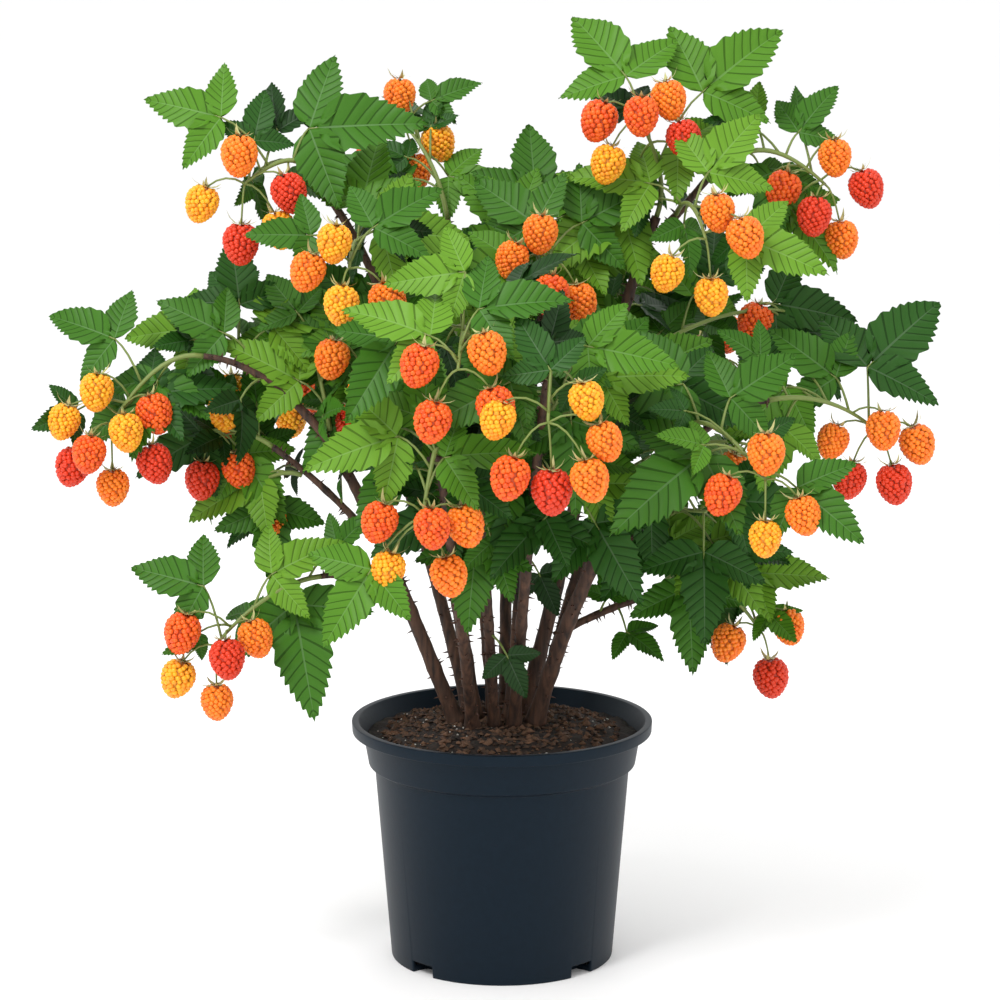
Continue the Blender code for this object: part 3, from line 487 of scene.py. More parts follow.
def clock_direction(clock, facing):
    """The direction a clock hand points, seen by someone who looks at the plant from the facing bearing."""
    angle = math.radians(HOUR * clock)
    right = place(facing + 90, 1, 0)
    return right * math.sin(angle) + up(math.cos(angle))


def sloped(start, end, slope):
    """The direction that heads from start towards end at this slope in degrees."""
    return raised(Vector((end.x - start.x, end.y - start.y, 0)).normalized(), slope)


def arc_points(start, leaving, end, arriving, count):
    """Points along one smooth bend from start to end."""
    reach = (end - start).length
    near = start + leaving * reach * LEAVING_PULL
    far = end - arriving * reach * ARRIVING_PULL
    points = []
    for step in range(count):
        t = step / (count - 1)
        u = 1 - t
        points.append(start * u**3 + near * 3 * u * u * t + far * 3 * u * t * t + end * t**3)
    return points


def length_along(points):
    return sum((b - a).length for a, b in zip(points, points[1:]))


def at_share(points, share):
    """The place and direction at a share of the way along points."""
    spot = share * (len(points) - 1)
    step = min(int(spot), len(points) - 2)
    direction = (points[step + 1] - points[step]).normalized()
    return points[step].lerp(points[step + 1], spot - step), direction


# The plant's growth, by the part's own rule


def side_start(carrier, share, target, slope, radius):
    """Where a side limb starts, just clear of its carrier's bark, and the direction it leaves in."""
    points, radii = carrier
    centre, along = at_share(points, share)
    leaving = sloped(centre, target, slope)
    if share == 1:
        return centre + along * GAP, along
    thickness = radii[0] + (radii[1] - radii[0]) * share
    cosine = abs(leaving.dot(along))
    sine = math.sqrt(1 - cosine * cosine)
    return centre + leaving * (thickness + GAP * 2 + radius * cosine) / sine, leaving


def limb_points(limb, limbs, rings):
    """The points along a limb's middle."""
    tip = place(limb.bearing, limb.reach, limb.height)
    if limb.carrier:
        start, leaving = side_start(limbs[limb.carrier], limb.share, tip, limb.leave, limb.thick)
    else:
        start = place(*limb.foot, MIX_CROWN + GAP)
        leaving = sloped(start, tip, limb.leave)
    return arc_points(start, leaving, tip, sloped(start, tip, limb.arrive), rings)


@functools.cache
def grown_limbs():
    """Each limb's coarse middle line and end radii by name, as the part's source has them."""
    limbs = {}
    for limb in LIMBS:
        limbs[limb.name] = (limb_points(limb, limbs, LIMB_RINGS), (limb.thick, limb.thin))
    return limbs


def shoot_points(shoot, rings):
    """The points along a shoot's stem, from just off its limb to the place its fruit hangs from."""
    tip = place(shoot.bearing, shoot.reach, shoot.height)
    if shoot.fruit:
        tip.z += TRUSS_HANG
    carrier = grown_limbs()[shoot.carrier]
    centre = at_share(carrier[0], shoot.share)[0]
    rising = (tip - centre).normalized() + up(STEM_RISE)
    slope = math.degrees(math.asin(rising.normalized().z))
    start, leaving = side_start(carrier, shoot.share, tip, slope, STEM_THICK)
    arriving = (tip - start).normalized()
    if shoot.fruit:
        arriving = (arriving - up(STEM_DROOP)).normalized()
    return arc_points(start, leaving, tip, arriving, rings)


def read_token(token):
    """A stalk's clock direction, the growth's own, and the letters after them."""
    clocks = token.rstrip("".join(c for c in token if c.isalpha()))
    stalk, _, own = clocks.rpartition(">")
    return float(stalk or own), float(own), token[len(clocks):]


def own_leaves(shoot, points):
    """The leaves that the part's source gives this shoot."""
    tokens = shoot.leaves.split()
    leaves = []
    for number, token in enumerate(tokens):
        stalk_clock, clock, letters = read_token(token)
        draw = random.Random(f"{shoot.name} leaf {number}")
        spread = LAST_LEAF_SHARE - FIRST_LEAF_SHARE
        share = FIRST_LEAF_SHARE + spread * number / max(1, len(tokens) - 1)
        root = at_share(points, share)[0]
        towards = place(shoot.facing + draw.uniform(-1, 1) * LEAF_TURN_SPREAD, 1, 0)
        normal = raised(towards, LEAF_TILT + draw.uniform(-1, 1) * LEAF_TILT_SPREAD)
        stalk = clock_direction(stalk_clock, shoot.facing) + towards * PETIOLE_FORWARD
        stalk = (stalk + up(PETIOLE_RISE)).normalized() * PETIOLE_LENGTH
        steps = letters.count("p") - letters.count("q")
        stalk *= (1 + PETIOLE_STEP * steps) * (1 + draw.uniform(-1, 1) * PETIOLE_SPREAD)
        pointing = square_to(normal, clock_direction(clock, shoot.facing))
        size = LEAF_SIZES[letters.strip("pq")]
        length = LEAF_LENGTH * size * (1 + draw.uniform(-1, 1) * LEAF_SIZE_SPREAD)
        tone = draw.choices(LEAF_TONES, OWN_TONE_WEIGHTS)[0]
        back = towards * (LEAF_BACK if shoot.fruit and shoot.facing == 0 else 0)
        leaves.append(Leaf(root, root + stalk - back, pointing, normal, length, tone))
    return leaves


def fill_leaves(shoot, points, count):
    """Small leaves that a shoot grows behind its own, in the same reach."""
    leaves = []
    for number in range(count):
        draw = random.Random(f"{shoot.name} fill {number}")
        root = at_share(points, draw.uniform(*FILL_ROOTS))[0]
        facing = shoot.facing + draw.uniform(-1, 1) * FILL_TURN
        clock = draw.uniform(0, 12)
        leaves.append(small_leaf(draw, root, facing, clock, FILL_SIZES, draw.uniform(*FILL_BACK)))
    return leaves


def small_leaf(draw, root, facing, clock, sizes, back):
    """A small leaf, its petiole leaving in a clock direction."""
    towards = place(facing, 1, 0)
    normal = raised(towards, LEAF_TILT + draw.uniform(-1, 1) * SMALL_TILT_SPREAD)
    stalk = (clock_direction(clock, facing) + up(PETIOLE_RISE)).normalized()
    stalk = stalk * PETIOLE_LENGTH * draw.uniform(*SMALL_PETIOLES) - towards * back
    pointing = square_to(normal, clock_direction(clock + draw.uniform(-1, 1), facing))
    # Small leaves take the darker tones more often, as painted shade inside the crown
    tone = draw.choices(LEAF_TONES, FILL_TONE_WEIGHTS)[0]
    return Leaf(root, root + stalk, pointing, normal, LEAF_LENGTH * draw.uniform(*sizes), tone)


def limb_leaves(limb, points):
    """Small leaves that stand in a spiral along the upper part of a cane or bough."""
    leaves = []
    length = length_along(points)
    for number in range(int(length / LIMB_LEAF_STEP)):
        draw = random.Random(f"{limb.name} leaf {number}")
        root = at_share(points, (number + 0.5) * LIMB_LEAF_STEP / length)[0]
        if root.z < LIMB_LEAF_FOOT:
            continue
        facing = number * math.degrees(GOLDEN_ANGLE) + limb.bearing
        clock = draw.choice(LIMB_LEAF_CLOCKS) + draw.uniform(-1, 1) * LIMB_LEAF_TURN
        leaves.append(small_leaf(draw, root, facing, clock, LIMB_LEAF_SIZES, 0))
    return leaves


def own_berries(shoot, points):
    """The shoot's berries, settled until neighbours only just touch."""
    truss = points[-1] - up(TRUSS_HANG)
    tokens = shoot.fruit.split()
    towards = place(shoot.facing, 1, 0)
    ring = TRUSS_RING.get(len(tokens), WIDE_TRUSS_RING)
    roots, centres, sizes, ripenesses = [], [], [], []
    for number, token in enumerate(tokens):
        _, clock, letter = read_token(token)
        draw = random.Random(f"{shoot.name} berry {number}")
        upward = max(0, math.cos(math.radians(HOUR * clock)))
        roots.append(at_share(points, 1 - UPPER_ROOT_STEP * upward)[0])
        near = letter.isupper()
        out = clock_direction(clock, shoot.facing) * ring * (NEAR_SHARE if near else 1)
        lift = NEAR_LIFT if near else draw.uniform(-1, 1) * LIFT_SPREAD
        centres.append(truss + out + towards * lift)
        sizes.append(RIPENESS_SIZE[letter.lower()] * (1 + draw.uniform(-1, 1) * BERRY_SIZE_SPREAD))
        ripenesses.append(letter.lower())
    for _ in range(SETTLING_STEPS):
        settle(centres, sizes)
    berries = []
    for root, centre, size, ripeness in zip(roots, centres, sizes, ripenesses):
        out = centre - truss
        out.z = 0
        axis = (up(-1) + out / ring * BERRY_OUTWARD).normalized()
        berries.append(Berry(root, centre, axis, size, ripeness))
    return berries


def settle(centres, sizes):
    """Pushes berries that press into each other half-way apart."""
    for first in range(len(centres)):
        for second in range(first):
            between = centres[first] - centres[second]
            wanted = BERRY_WIDTH * BERRY_CLEARANCE * (sizes[first] + sizes[second]) / 2
            short = wanted - between.length
            if short > 0:
                push = between.normalized() * short / 2
                centres[first] += push
                centres[second] -= push


@functools.cache
def grown_leaves(fill_count):
    """Every leaf of the plant."""
    leaves = []
    for shoot in SHOOTS:
        points = shoot_points(shoot, STEM_RINGS)
        leaves += own_leaves(shoot, points) + fill_leaves(shoot, points, fill_count)
    for limb in LIMBS:
        leaves += limb_leaves(limb, grown_limbs()[limb.name][0])
    for name, share, clock in LOW_LEAVES:
        root = at_share(grown_limbs()[name][0], share)[0]
        draw = random.Random(f"low leaf {clock}")
        leaves.append(small_leaf(draw, root, 0, clock, LOW_LEAF_SIZES, -LOW_LEAF_FORWARD))
    return leaves


@functools.cache
def grown_berries():
    """Every berry of the plant."""
    berries = []
    for shoot in SHOOTS:
        berries += own_berries(shoot, shoot_points(shoot, STEM_RINGS))
    return berries


# Meshes


def linked(name, data):
    """A new object in the scene."""
    made = bpy.data.objects.new(name, data)
    bpy.context.scene.collection.objects.link(made)
    return made


class Soup:
    """Points and faces of one joined piece, with a material number for each face."""

    def __init__(self):
        self.verts, self.faces, self.finishes = [], [], []

    def add(self, verts, faces, finish=0):
        base = len(self.verts)
        self.verts += verts
        for number, face in enumerate(faces):
            self.faces.append(tuple(base + v for v in face))
            self.finishes.append(finish[number] if isinstance(finish, list) else finish)

    def made(self, name, materials, smooth=True):
        mesh = bpy.data.meshes.new(name)
        mesh.from_pydata([tuple(v) for v in self.verts], [], self.faces)
        for finish in materials:
            mesh.materials.append(finish)
        mesh.polygons.foreach_set("material_index", self.finishes)
        mesh.polygons.foreach_set("use_smooth", [smooth] * len(self.faces))
        return linked(name, mesh)


def ring_points(centre, across, beside, radius, sides):
    """Points evenly round a circle."""
    points = []
    for side in range(sides):
        angle = 2 * math.pi * side / sides
        points.append(centre + (across * math.cos(angle) + beside * math.sin(angle)) * radius)
    return points


def band_faces(rings, sides):
    """The faces between rings of points, each ring after the last."""
    faces = []
    for ring in range(rings - 1):
        for side in range(sides):
            a = ring * sides + side
            b = ring * sides + (side + 1) % sides
            faces.append((a, b, b + sides, a + sides))
    return faces


def end_faces(rings, sides):
    """The two faces that close the first and the last ring."""
    return [tuple(reversed(range(sides))), tuple(range((rings - 1) * sides, rings * sides))]


def tube(points, radii, sides):
    """A round bar through points."""
    verts = []
    across = None
    for number, centre in enumerate(points):
        ahead = points[min(number + 1, len(points) - 1)] - points[max(number - 1, 0)]
        normal = ahead.normalized()
        across = square_to(normal, across if across else normal.orthogonal())
        verts += ring_points(centre, across, normal.cross(across), radii[number], sides)
    return verts, band_faces(len(points), sides) + end_faces(len(points), sides)


def even_radii(thick, thin, count):
    return [thick + (thin - thick) * number / (count - 1) for number in range(count)]


def stalk(start, end, radii, sag):
    """A thin stalk that bows a little upward between its ends."""
    rise = up((end - start).length * sag)
    points = []
    for number in range(STALK_RINGS):
        t = number / (STALK_RINGS - 1)
        points.append(start.lerp(end, t) + rise * 4 * t * (1 - t))
    return tube(points, even_radii(*radii, STALK_RINGS), STALK_SIDES)


def leaflet_width(share, width):
    """Half-width of a leaflet at a share of its length: broad below the middle, drawn out to its tip."""
    rise, fall = LEAFLET_SHAPE
    peak = rise / (rise + fall)
    return width * (share**rise * (1 - share)**fall) / (peak**rise * (1 - peak)**fall)


def leaflet(base, along, normal, length, width, droop, draw):
    """A toothed leaflet, pleated along its side veins, with painted shade in each vein groove; returns
    points, faces and material numbers.
    """
    beside = normal.cross(along)
    wave = draw.uniform(0, 2 * math.pi)
    fold = LEAF_FOLD * draw.uniform(*LEAF_FOLDS)
    verts, faces, finishes = [], [], []
    columns = [-c for c in reversed(VEIN_COLUMNS[1:])] + list(VEIN_COLUMNS)
    rows = VEINS * len(VEIN_ROWS)
    for row in range(rows + 1):
        vein, step = divmod(row, len(VEIN_ROWS))
        midrib = (vein + VEIN_ROWS[step]) / VEINS
        between = step == len(VEIN_ROWS) - 1
        for column in columns:
            out = abs(column)
            margin = midrib + VEIN_REACH * min(1, midrib * VEINS / VEINS_OF_BASE) * (1 - midrib)
            forward = midrib + (margin - midrib) * out
            edge = leaflet_width(margin, width)
            if row == rows:
                forward, edge = 1, 0
            elif out == 1:
                forward += -TOOTH_FORWARD / 2 if between else TOOTH_FORWARD
                edge *= 1 + (-TOOTH_OUT if between else TOOTH_OUT)
            side = math.copysign(edge * out, column) if column else 0
            rise = abs(side) * fold - droop * forward * forward
            rise += MARGIN_WAVE * out * out * math.sin(wave + forward * MARGIN_WAVES + column)
            if out > MIDRIB_HALF:
                rise += VEIN_DEPTH if between else -VEIN_DEPTH / 2
            verts.append(base + (along * forward + beside * side + normal * rise) * length)
    across = len(columns)
    for row in range(rows):
        for strip in range(across - 1):
            a = row * across + strip
            faces.append((a, a + 1, a + 1 + across, a + across))
            midrib_face = strip in (across // 2 - 1, across // 2)
            # Material 2 is the sunk strip along each side vein, darkened as painted shade in the groove
            finishes.append(1 if midrib_face else 2 if row % len(VEIN_ROWS) == 0 else 0)
    return verts, faces, finishes


def add_leaf(soup, leaf, scale, seed):
    """A leaf's three leaflets."""
    draw = random.Random(seed)
    length = leaf.length * scale
    beside = leaf.normal.cross(leaf.pointing)
    droop = LEAF_DROOP + draw.uniform(-1, 1) * DROOP_SPREAD
    start = leaf.centre + leaf.pointing * length * END_STALK
    end_length = length * (1 - END_STALK)
    soup.add(*leaflet(start, leaf.pointing, leaf.normal, end_length, LEAFLET_WIDTH, droop, draw))
    for hand in (-1, 1):
        angle = math.radians(SIDE_ANGLE + draw.uniform(-1, 1) * SIDE_ANGLE_SPREAD)
        along = leaf.pointing * math.cos(angle) + beside * hand * math.sin(angle)
        normal = (leaf.normal + beside * hand * draw.uniform(*SIDE_TWIST)).normalized()
        along = square_to(normal, along)
        side_length = length * SIDE_LEAFLET * (1 + draw.uniform(-1, 1) * SIDE_LEAFLET_SPREAD)
        side_droop = droop * SIDE_DROOP
        soup.add(*leaflet(leaf.centre, along, normal, side_length, SIDE_LEAFLET_WIDTH, side_droop, draw))


# Materials


def shader_of(material):
    return material.node_tree.nodes["Principled BSDF"]


def plain(name, colour, roughness, specular=0.5):
    """A plain colour, for a finish that is dealt out piece by piece."""
    made = bpy.data.materials.new(name)
    made.use_nodes = True
    inputs = shader_of(made).inputs
    inputs["Base Color"].default_value = (*colour, 1)
    inputs["Roughness"].default_value = roughness
    inputs["Specular IOR Level"].default_value = specular
    return made


def mottled(name, colour, roughness, scale, spread, bump, stretch=(1, 1, 1)):
    """A colour broken up by noise, with the same noise as fine relief."""
    made = plain(name, colour, roughness)
    nodes, links = made.node_tree.nodes, made.node_tree.links
    coordinates = nodes.new("ShaderNodeTexCoord")
    mapping = nodes.new("ShaderNodeMapping")
    mapping.inputs["Scale"].default_value = stretch
    grain = nodes.new("ShaderNodeTexNoise")
    grain.inputs["Scale"].default_value = scale
    grain.inputs["Detail"].default_value = MOTTLE_DETAIL
    ramp = nodes.new("ShaderNodeValToRGB")
    for stop, position, change in zip(ramp.color_ramp.elements, MOTTLE_STOPS, (-spread, spread)):
        stop.position = position
        stop.color = (*[min(1, c * (1 + change)) for c in colour], 1)
    relief = nodes.new("ShaderNodeBump")
    relief.inputs["Strength"].default_value = bump
    relief.inputs["Distance"].default_value = MOTTLE_DISTANCE
    links.new(coordinates.outputs["Object"], mapping.inputs["Vector"])
    links.new(mapping.outputs["Vector"], grain.inputs["Vector"])
    links.new(grain.outputs["Fac"], ramp.inputs["Fac"])
    links.new(ramp.outputs["Color"], shader_of(made).inputs["Base Color"])
    links.new(grain.outputs["Fac"], relief.inputs["Height"])
    links.new(relief.outputs["Normal"], shader_of(made).inputs["Normal"])
    return made


def settings():
    """The plant's settings, as they stand in the scene."""
    return bpy.context.scene.plant_settings


def finish_piece(piece, nodes):
    """Ties a piece to the frame's one body and hides the nodes it replaces."""
    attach(piece, "root")
    if nodes:
        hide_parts(*nodes)


# Operators


class PLANT_OT_pot(bpy.types.Operator):
    """Turns the pot with its collar, lip and drain notches"""

    bl_idname = "plant.pot"
    bl_label = "Pot"

    def execute(self, context):
        pot = turned_pot()
        for number in range(DRAIN_COUNT):
            cut_drain(pot, number)
        soften_edges(pot)
        finish_piece(pot, ["pot"])
        return {"FINISHED"}


def wall_radius(height):
    """Outer radius of the pot's tapering wall below the collar."""
    return BASE_RADIUS + (WALL_TOP_RADIUS - BASE_RADIUS) * height / COLLAR_FOOT


def inner_radius(height):
    """Inner radius of the pot at a height, from the floor up to the lip."""
    if height < COLLAR_FOOT:
        return wall_radius(height) - POT_WALL
    share = (height - COLLAR_FOOT) / (POT_HEIGHT - COLLAR_FOOT)
    foot = WALL_TOP_RADIUS - POT_WALL
    return foot + (RIM_INSIDE - foot) * share


def mesh_from(shape, name):
    """A finished shape as a named mesh."""
    mesh = bpy.data.meshes.new(name)
    shape.to_mesh(mesh)
    shape.free()
    return mesh


def turned_pot():
    """The pot as one lathe turning, before its notches."""
    lip_foot = POT_HEIGHT - LIP_HEIGHT
    profile = [
        (0, 0),
        (BASE_RADIUS, 0),
        (WALL_TOP_RADIUS, COLLAR_FOOT - COLLAR_STEP / 2),
        (COLLAR_FOOT_RADIUS, COLLAR_FOOT + COLLAR_STEP / 2),
        (COLLAR_TOP_RADIUS, lip_foot),
        (RIM_RADIUS - LIP_DRAFT, lip_foot),
        (RIM_RADIUS, POT_HEIGHT),
        (RIM_INSIDE, POT_HEIGHT),
        (inner_radius(COLLAR_FOOT), COLLAR_FOOT),
        (inner_radius(POT_FLOOR), POT_FLOOR),
        (0, POT_FLOOR),
    ]
    shape = bmesh.new()
    verts = [shape.verts.new((radius, 0, height)) for radius, height in profile]
    edges = [shape.edges.new(pair) for pair in zip(verts, verts[1:])]
    bmesh.ops.spin(shape, geom=verts + edges, cent=(0, 0, 0), axis=(0, 0, 1), angle=2 * math.pi,
                   steps=POT_SEGMENTS, use_merge=True)
    bmesh.ops.remove_doubles(shape, verts=shape.verts, dist=POT_SEAM)
    bmesh.ops.recalc_face_normals(shape, faces=shape.faces)
    mesh = mesh_from(shape, "nursery_pot")
    mesh.materials.append(mottled("pot_plastic_satin", settings().plastic, *POT_FINISH))
    inputs = shader_of(mesh.materials[0]).inputs
    inputs["Specular IOR Level"].default_value = POT_SPECULAR
    inputs["Specular Tint"].default_value = POT_SPECULAR_TINT
    return linked("nursery_pot", mesh)


def cut_drain(pot, number):
    """Opens one drain notch through the foot of the pot's wall."""
    bearing = DRAIN_BEARING + number * 360 / DRAIN_COUNT
    shape = bmesh.new()
    size = Matrix.Diagonal((DRAIN_WIDTH, DRAIN_DEPTH, DRAIN_HEIGHT * 2, 1))
    bmesh.ops.create_cube(shape, size=1, matrix=size)
    cutter = linked("drain_cutter", mesh_from(shape, "drain_cutter"))
    cutter.location = place(bearing, BASE_RADIUS, 0)
    cutter.rotation_euler.z = math.radians(bearing)
    cut = pot.modifiers.new("drain", "BOOLEAN")
    cut.operation = "DIFFERENCE"
    cut.object = cutter
    apply_modifiers(pot)
    bpy.data.objects.remove(cutter)


def soften_edges(piece):
    """Rounds the edges a little and shades the faces between them smooth."""
    bevel = piece.modifiers.new("soft_edges", "BEVEL")
    bevel.width = POT_EDGE
    bevel.segments = POT_EDGE_SEGMENTS
    bevel.limit_method = "ANGLE"
    bevel.angle_limit = math.radians(POT_EDGE_ANGLE)
    apply_modifiers(piece)
    piece.data.shade_smooth()
    piece.data.set_sharp_from_angle(angle=math.radians(POT_SMOOTH_ANGLE))


def apply_modifiers(piece):
    """Gives a piece the mesh that its modifiers make."""
    graph = bpy.context.evaluated_depsgraph_get()
    mesh = bpy.data.meshes.new_from_object(piece.evaluated_get(graph))
    piece.modifiers.clear()
    piece.data = mesh


class PLANT_OT_mix(bpy.types.Operator):
    """Fills the pot with mounded, crumbly potting mix, bark chips and white perlite"""

    bl_idname = "plant.mix"
    bl_label = "Potting mix"

    def execute(self, context):
        make_mix()
        make_crumbs("bark_chips", CHIP_COUNT, CHIP_SIZES, CHIP_EVENNESS,
                    mottled("bark_chip", settings().bark_chip, *CHIP_FINISH))
        make_crumbs("perlite", PERLITE_COUNT, PERLITE_SIZES, PERLITE_EVENNESS,
                    mottled("perlite_white", settings().perlite, *PERLITE_FINISH))
        return {"FINISHED"}


def mix_height(x, y):
    """Height of the rough surface of the mix."""
    radius = math.hypot(x, y)
    edge = inner_radius(MIX_EDGE) - GAP
    share = min(1, max(0, (edge - radius) / (edge - MIX_FLAT_RADIUS)))
    base = MIX_CROWN - (MIX_CROWN - MIX_EDGE) * (1 + math.cos(math.pi * share)) / 2
    clods = noise.fractal(Vector((x, y, 0)) * CLOD_SCALE, *CLOD_FRACTAL)
    grain = noise.noise(Vector((x, y, 4)) * GRAIN_SCALE)
    return base + clods * CLOD_HEIGHT + grain * GRAIN_HEIGHT


def make_mix():
    """The mix as one closed body, rough on top and flat at the collar's foot."""
    edge = inner_radius(MIX_EDGE) - GAP
    verts = [Vector((0, 0, mix_height(0, 0)))]
    faces = []
    for ring in range(1, MIX_RINGS + 1):
        for spoke in range(MIX_SPOKES):
            spot = place(spoke * 360 / MIX_SPOKES, edge * ring / MIX_RINGS, 0)
            spot.z = mix_height(spot.x, spot.y)
            verts.append(spot)
    foot = len(verts)
    for spoke in range(MIX_SPOKES):
        verts.append(place(spoke * 360 / MIX_SPOKES, inner_radius(COLLAR_FOOT) - GAP, COLLAR_FOOT))
    for spoke in range(MIX_SPOKES):
        following = (spoke + 1) % MIX_SPOKES
        faces.append((0, 1 + spoke, 1 + following))
        for ring in range(MIX_RINGS):
            a = 1 + ring * MIX_SPOKES
            faces.append((a + spoke, a + MIX_SPOKES + spoke, a + MIX_SPOKES + following, a + following))
    faces.append(tuple(range(foot + MIX_SPOKES - 1, foot - 1, -1)))
    soup = Soup()
    soup.add(verts, faces)
    mix = soup.made("potting_mix_relief", [mottled("potting_mix_damp", settings().mix, *MIX_FINISH)])
    finish_piece(mix, ["potting_mix"])


def make_crumbs(name, count, sizes, evenness, finish):
    """Small broken lumps, half sunk in the mix."""
    draw = random.Random(name)
    edge = inner_radius(MIX_EDGE) - sizes[1] * CRUMB_EDGE_ROOM
    soup = Soup()
    for _ in range(count):
        spot = place(draw.uniform(0, 360), edge * math.sqrt(draw.random()), 0)
        size = draw.uniform(*sizes)
        stretch = Vector((1, draw.uniform(evenness, 1), draw.uniform(evenness, 1) * CRUMB_FLATNESS))
        stretch = stretch * size / 2
        turn = Matrix.Rotation(draw.uniform(0, CRUMB_TURN), 3, "Z")
        turn = turn @ Matrix.Rotation(draw.uniform(-1, 1) * CRUMB_LEAN, 3, "X")
        spot.z = mix_height(spot.x, spot.y) + stretch.z * CRUMB_RISE
        verts = []
        for x, y, z in CRUMB_POINTS:
            corner = Vector((x * stretch.x, y * stretch.y, z * stretch.z)) * draw.uniform(*CRUMB_CORNERS)
            verts.append(spot + turn @ corner)
        faces = []
        for side in range(4):
            following = (side + 1) % 4
            faces += [(side, following, 4), (following, side, 5)]
        soup.add(verts, faces)
    crumbs = soup.made(name, [finish], smooth=False)
    finish_piece(crumbs, [])


class PLANT_OT_canes(bpy.types.Operator):
    """Grows the canes and boughs with bark relief, joints and prickles"""

    bl_idname = "plant.canes"
    bl_label = "Canes and boughs"

    def execute(self, context):
        bark = mottled("cane_bark_rough", settings().bark, *BARK_FINISH)
        prickle_soup = Soup()
        for limb in LIMBS:
            points = limb_points(limb, grown_limbs(), FINE_RINGS)
            radii = bark_radii(limb, points)
            soup = Soup()
            soup.add(*rough_tube(points, radii, limb.name))
            piece = soup.made(limb.name + "_bark", [bark])
            finish_piece(piece, [limb.name])
            add_prickles(prickle_soup, points, radii, limb.name)
        brown = plain("prickle_brown", settings().prickle, PRICKLE_ROUGHNESS)
        prickles = prickle_soup.made("prickles", [brown])
        finish_piece(prickles, [])
        return {"FINISHED"}


def bark_radii(limb, points):
    """A limb's radius at each ring: its taper, its flare at the mix and a swelling at each joint."""
    radii = []
    along = 0
    for number, point in enumerate(points):
        share = number / (len(points) - 1)
        along += (point - points[max(0, number - 1)]).length
        radius = limb.thick + (limb.thin - limb.thick) * share
        if not limb.carrier:
            radius *= 1 + (FOOT_FLARE - 1) * max(0, 1 - along / FOOT_FLARE_LENGTH)
        beat = math.cos(2 * math.pi * along / CANE_JOINT_STEP)
        radii.append(radius * (1 + CANE_JOINT_SWELLING * max(0, beat)**CANE_JOINT_SHARPNESS))
    return radii


def rough_tube(points, radii, seed):
    """A round bar with bark relief along it."""
    verts, faces = tube(points, radii, BARK_SIDES)
    offset = Vector((len(seed), ord(seed[-1]), ord(seed[0])))
    rough = []
    for number, vert in enumerate(verts):
        ring = number // BARK_SIDES
        centre = points[ring]
        relief = noise.noise(vert * BARK_GRAIN + offset) + noise.noise(vert * BARK_RIDGES + offset)
        rough.append(centre + (vert - centre) * (1 + settings().bark_relief * relief))
    return rough, faces


def add_prickles(soup, points, radii, seed):
    """Short straight prickles all round a limb."""
    draw = random.Random(seed + " prickles")
    length = length_along(points)
    for _ in range(int(length / PRICKLE_STEP)):
        share = draw.random()
        centre, along = at_share(points, share)
        radius = radii[min(int(share * len(radii)), len(radii) - 1)]
        out = Matrix.Rotation(draw.uniform(0, 2 * math.pi), 3, along) @ along.orthogonal().normalized()
        base = centre + out * radius * PRICKLE_ROOT
        leaning = out + along * draw.uniform(*PRICKLE_LEAN)
        tip = base + leaning * settings().prickle_length * draw.uniform(*PRICKLE_LENGTHS)
        soup.add(*spike(base, tip, PRICKLE_RADIUS))


def spike(base, tip, radius):
    """A three-sided spike."""
    across = (tip - base).orthogonal().normalized() * radius
    turn = Matrix.Rotation(2 * math.pi / 3, 3, (tip - base).normalized())
    verts = [base + across, base + turn @ across, base + turn @ turn @ across, tip]
    return verts, [(0, 1, 3), (1, 2, 3), (2, 0, 3), (2, 1, 0)]


class PLANT_OT_stems(bpy.types.Operator):
    """Grows the green stems, petioles and fruit stalks"""

    bl_idname = "plant.stems"
    bl_label = "Stems and stalks"

    def execute(self, context):
        soup = Soup()
        for shoot in SHOOTS:
            points = shoot_points(shoot, FINE_STEM_RINGS)
            soup.add(*tube(points, even_radii(STEM_THICK, STEM_THIN, FINE_STEM_RINGS), STEM_SIDES))
        for leaf in grown_leaves(settings().fill_leaves):
            end = leaf.centre - leaf.pointing * PETIOLE_SINK
            soup.add(*stalk(leaf.root, end, PETIOLE_RADII, PETIOLE_SAG))
            tip = leaf.centre + leaf.pointing * leaf.length * (END_STALK + END_STALK_SINK)
            soup.add(*stalk(end, tip, END_STALK_RADII, 0))
        for berry in grown_berries():
            top = berry.centre - berry.axis * BERRY_HEIGHT * BERRY_TOP * berry.size
            soup.add(*stalk(berry.root, top, PEDICEL_RADII, PEDICEL_SAG))
        stems = soup.made("green_stems", [plain("stem_green", settings().stem_green, STEM_ROUGHNESS)])
        finish_piece(stems, ["shoot_" + shoot.name for shoot in SHOOTS])
        return {"FINISHED"}


class PLANT_OT_leaves(bpy.types.Operator):
    """Unfolds every leaf, in pieces by tone"""

    bl_idname = "plant.leaves"
    bl_label = "Leaves"

    def execute(self, context):
        soups = {tone: Soup() for tone in LEAF_TONES}
        for number, leaf in enumerate(grown_leaves(settings().fill_leaves)):
            add_leaf(soups[leaf.tone], leaf, settings().leaf_scale, f"leaf {number}")
        for tone, soup in soups.items():
            green = getattr(settings(), "leaf_" + tone)
            pale = [c + (1 - c) * VEIN_LIGHTNESS for c in green]
            # The groove colour is the green darkened as painted shade in the vein grooves
            dark = [c * GROOVE_PAINTED_SHADE for c in green]
            blade = plain("leaf_" + tone, green, *BLADE_FINISH)
            vein = plain("leaf_vein_" + tone, pale, *VEIN_FINISH)
            groove = plain("leaf_groove_" + tone, dark, *GROOVE_FINISH)
            piece = soup.made("leaves_" + tone, [blade, vein, groove])
            finish_piece(piece, [])
        return {"FINISHED"}


